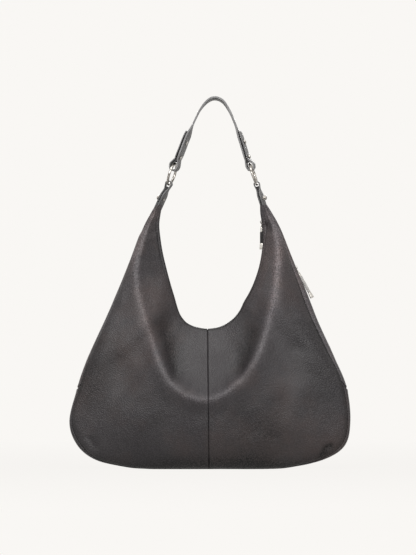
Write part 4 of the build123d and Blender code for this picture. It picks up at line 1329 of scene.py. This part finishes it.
def slider(zip_name, origin, out, way):
    """A slider round the coil: two plates joined by a post, and an arched bail."""
    bm = bmesh.new()
    matrix = axes(origin, out, way)
    for side in (-1, 1):
        plate = matrix @ Matrix.Translation((side * 1.85, 0, 0))
        rounded_block(bm, plate, (1.1, 8.8, 8.0), 0.45, 0.72)
        for edge in (-1, 1):
            flange = matrix @ Matrix.Translation((side * 1.3, edge * 3.7, 0.8))
            rounded_block(bm, flange, (1.2, 0.9, 5.6), 0.3)
    rounded_block(bm, matrix, (2.8, 0.7, 2.6), 0.2)
    arch = [
        matrix @ Vector((2.2 + 3.2 * math.sin(turn) ** 0.7, 0, -2.9 * math.cos(turn)))
        for turn in (math.pi * k / 12 for k in range(13))
    ]
    rod(bm, arch, WIRE)
    finished(f"{zip_name}_zip_slider", bm, nickel)


def hanging_pull(zip_name, origin, facing, up, turn, longer, strip_leather):
    """The pull below the link: a metal clip, a strip of leather and a metal end."""
    matrix = axes(origin, facing, up) @ Matrix.Rotation(math.radians(turn), 4, "Z")

    def block(bm, drop, size, edge, low_width=1.0):
        rounded_block(bm, matrix @ Matrix.Translation((0, 0, -drop)), size, edge, low_width)

    clip = bmesh.new()
    eye = [
        matrix @ Vector((1.45 * math.sin(round_eye), 0, 1.45 * math.cos(round_eye) - LINK_DROP))
        for round_eye in (2 * math.pi * k / 16 for k in range(17))
    ]
    rod(clip, eye, WIRE)
    block(clip, LINK_DROP + 5.8, (1.9, 2.9, 8.4), 0.45, 1.15)
    finished(f"{zip_name}_zip_clip", clip, brushed_nickel)
    strip = bmesh.new()
    block(strip, 24.4 + longer / 2, (1.9, 4.6, 17.4 + longer), 0.5)
    finished(f"{zip_name}_zip_pull", strip, strip_leather)
    tip = bmesh.new()
    block(tip, 38.1 + longer, (2.1, 4.8, 10.0), 0.5, 1.35)
    finished(f"{zip_name}_zip_tip", tip, brushed_nickel)


# Where the mouth's slider stands on the mouth's arc, and how its pull hangs.
MOUTH_SLIDER_ANGLE = 7.0
SIDE_SLIDER_HEIGHT = 315.0
SIDE_PULL_LIFT = math.radians(6)
mouth_turn = math.radians(MOUTH_SLIDER_ANGLE)
mouth_out = Vector((-math.cos(mouth_turn), 0, -math.sin(mouth_turn)))
mouth_way = Vector((-math.sin(mouth_turn), 0, math.cos(mouth_turn)))
arc_x, arc_z = mouth_arc(MOUTH_SLIDER_ANGLE)
mouth_slider_at = Vector((arc_x, 0, arc_z)) - mouth_out * ZIP_DEPTH
slider("mouth", mouth_slider_at, mouth_out, mouth_way)
# The mouth pull's strip is near black, a painted shade.
hanging_pull(
    "mouth", mouth_slider_at + mouth_out * BAIL_HEIGHT, (-1, 0, 0), (0, 0, 1), 64, 0, shaded_pull_leather
)
side_slider_at = side_zip_point(SIDE_SLIDER_HEIGHT)
slider("side", side_slider_at, SIDE_OUT, SIDE_UP)
# The side pull's strip is pale grey, a painted highlight.
hanging_pull(
    "side",
    side_slider_at + SIDE_OUT * BAIL_HEIGHT,
    SIDE_OUT * math.cos(SIDE_PULL_LIFT) + SIDE_UP * math.sin(SIDE_PULL_LIFT),
    SIDE_UP * math.cos(SIDE_PULL_LIFT) - SIDE_OUT * math.sin(SIDE_PULL_LIFT),
    -55,
    11,
    highlit_pull_leather,
)


# ---- Floor, light and camera ---------------------------------------------------------------
scene = bpy.context.scene
scene.view_settings.view_transform = "Standard"
PAPER = "f9f7f4"


def shown_directly(tree):
    """One for what the camera sees itself, in a mirror or through glass, and nought for light."""
    path = node(tree, "LightPath").outputs
    either = node(
        tree, "Math", {0: path["Is Camera Ray"], 1: path["Is Glossy Ray"]}, operation="MAXIMUM"
    )
    return node(
        tree, "Math", {0: either, 1: path["Is Transmission Ray"]}, operation="MAXIMUM"
    )


world = bpy.data.worlds.new("studio")
world.use_nodes = True
scene.world = world
tree = world.node_tree
tree.nodes.clear()
ambient = node(tree, "Background", {"Color": colour("ffffff"), "Strength": 0.24})
backdrop = node(tree, "Background", {"Color": colour(PAPER), "Strength": 1})
chosen = node(tree, "MixShader", {"Fac": shown_directly(tree), 1: ambient, 2: backdrop})
node(tree, "OutputWorld", {"Surface": chosen})

bm = bmesh.new()
bmesh.ops.create_circle(bm, cap_ends=True, segments=96, radius=30)
floor_mesh = bpy.data.meshes.new("studio_floor")
bm.to_mesh(floor_mesh)
bm.free()
floor = bpy.data.objects.new("studio_floor", floor_mesh)
floor.location.z = -0.0005
scene.collection.objects.link(floor)

# Matt paper: pale and plain, a shade darker under the bag than away from it.
paper = bpy.data.materials.new("matt paper sweep")
paper.use_nodes = True
tree = paper.node_tree
tree.nodes.clear()
lit = node(tree, "BsdfDiffuse", {"Color": colour("989694")})
plain = node(tree, "Emission", {"Color": colour(PAPER), "Strength": 1})
spot = node(tree, "TexCoord").outputs["Object"]
away = node(tree, "VectorMath", {0: spot}, operation="LENGTH").outputs["Value"]
near = node(
    tree, "MapRange",
    {"Value": away, "From Min": 0.3, "From Max": 1.6, "To Min": 0.95, "To Max": 1},
)
seen = node(tree, "Math", {0: shown_directly(tree), 1: near}, operation="MULTIPLY")
mixed = node(tree, "MixShader", {"Fac": seen, 1: lit, 2: plain})
node(tree, "OutputMaterial", {"Surface": mixed})
floor_mesh.materials.append(paper)


def soft_box(name, at, aim, width, height, watts):
    """A flat lamp turned towards a place."""
    lamp = bpy.data.lights.new(name, "AREA")
    lamp.shape = "RECTANGLE"
    lamp.size = width
    lamp.size_y = height
    lamp.energy = watts
    box = bpy.data.objects.new(name, lamp)
    box.location = at
    box.rotation_euler = (Vector(aim) - Vector(at)).to_track_quat("-Z", "Y").to_euler()
    scene.collection.objects.link(box)


soft_box("high_soft_box", (0.0, -1.1, 2.2), (0, 0, 0.25), 1.4, 0.8, 34)
soft_box("left_soft_box", (-0.8, -2.5, 1.15), (0, 0, 0.22), 0.6, 0.8, 34)
soft_box("right_soft_box", (0.8, -2.5, 1.15), (0, 0, 0.22), 0.6, 0.8, 34)
soft_box("back_soft_box", (0.0, 2.8, 1.2), (0, 0, 0.22), 1.2, 0.8, 40)

# A long lens from far away, level with the upper part of the body.
CAMERA_DISTANCE = 9.0
FRAME_HEIGHT = 0.871
SENSOR = 36
camera_data = bpy.data.cameras.new("camera")
camera_data.sensor_width = SENSOR
camera_data.lens = SENSOR * CAMERA_DISTANCE / FRAME_HEIGHT
camera_data.clip_end = 100
camera = bpy.data.objects.new("camera", camera_data)
camera.location = (-0.0024, -CAMERA_DISTANCE, 0.2999)
camera.rotation_euler = (math.radians(90), 0, 0)
scene.collection.objects.link(camera)
scene.camera = camera
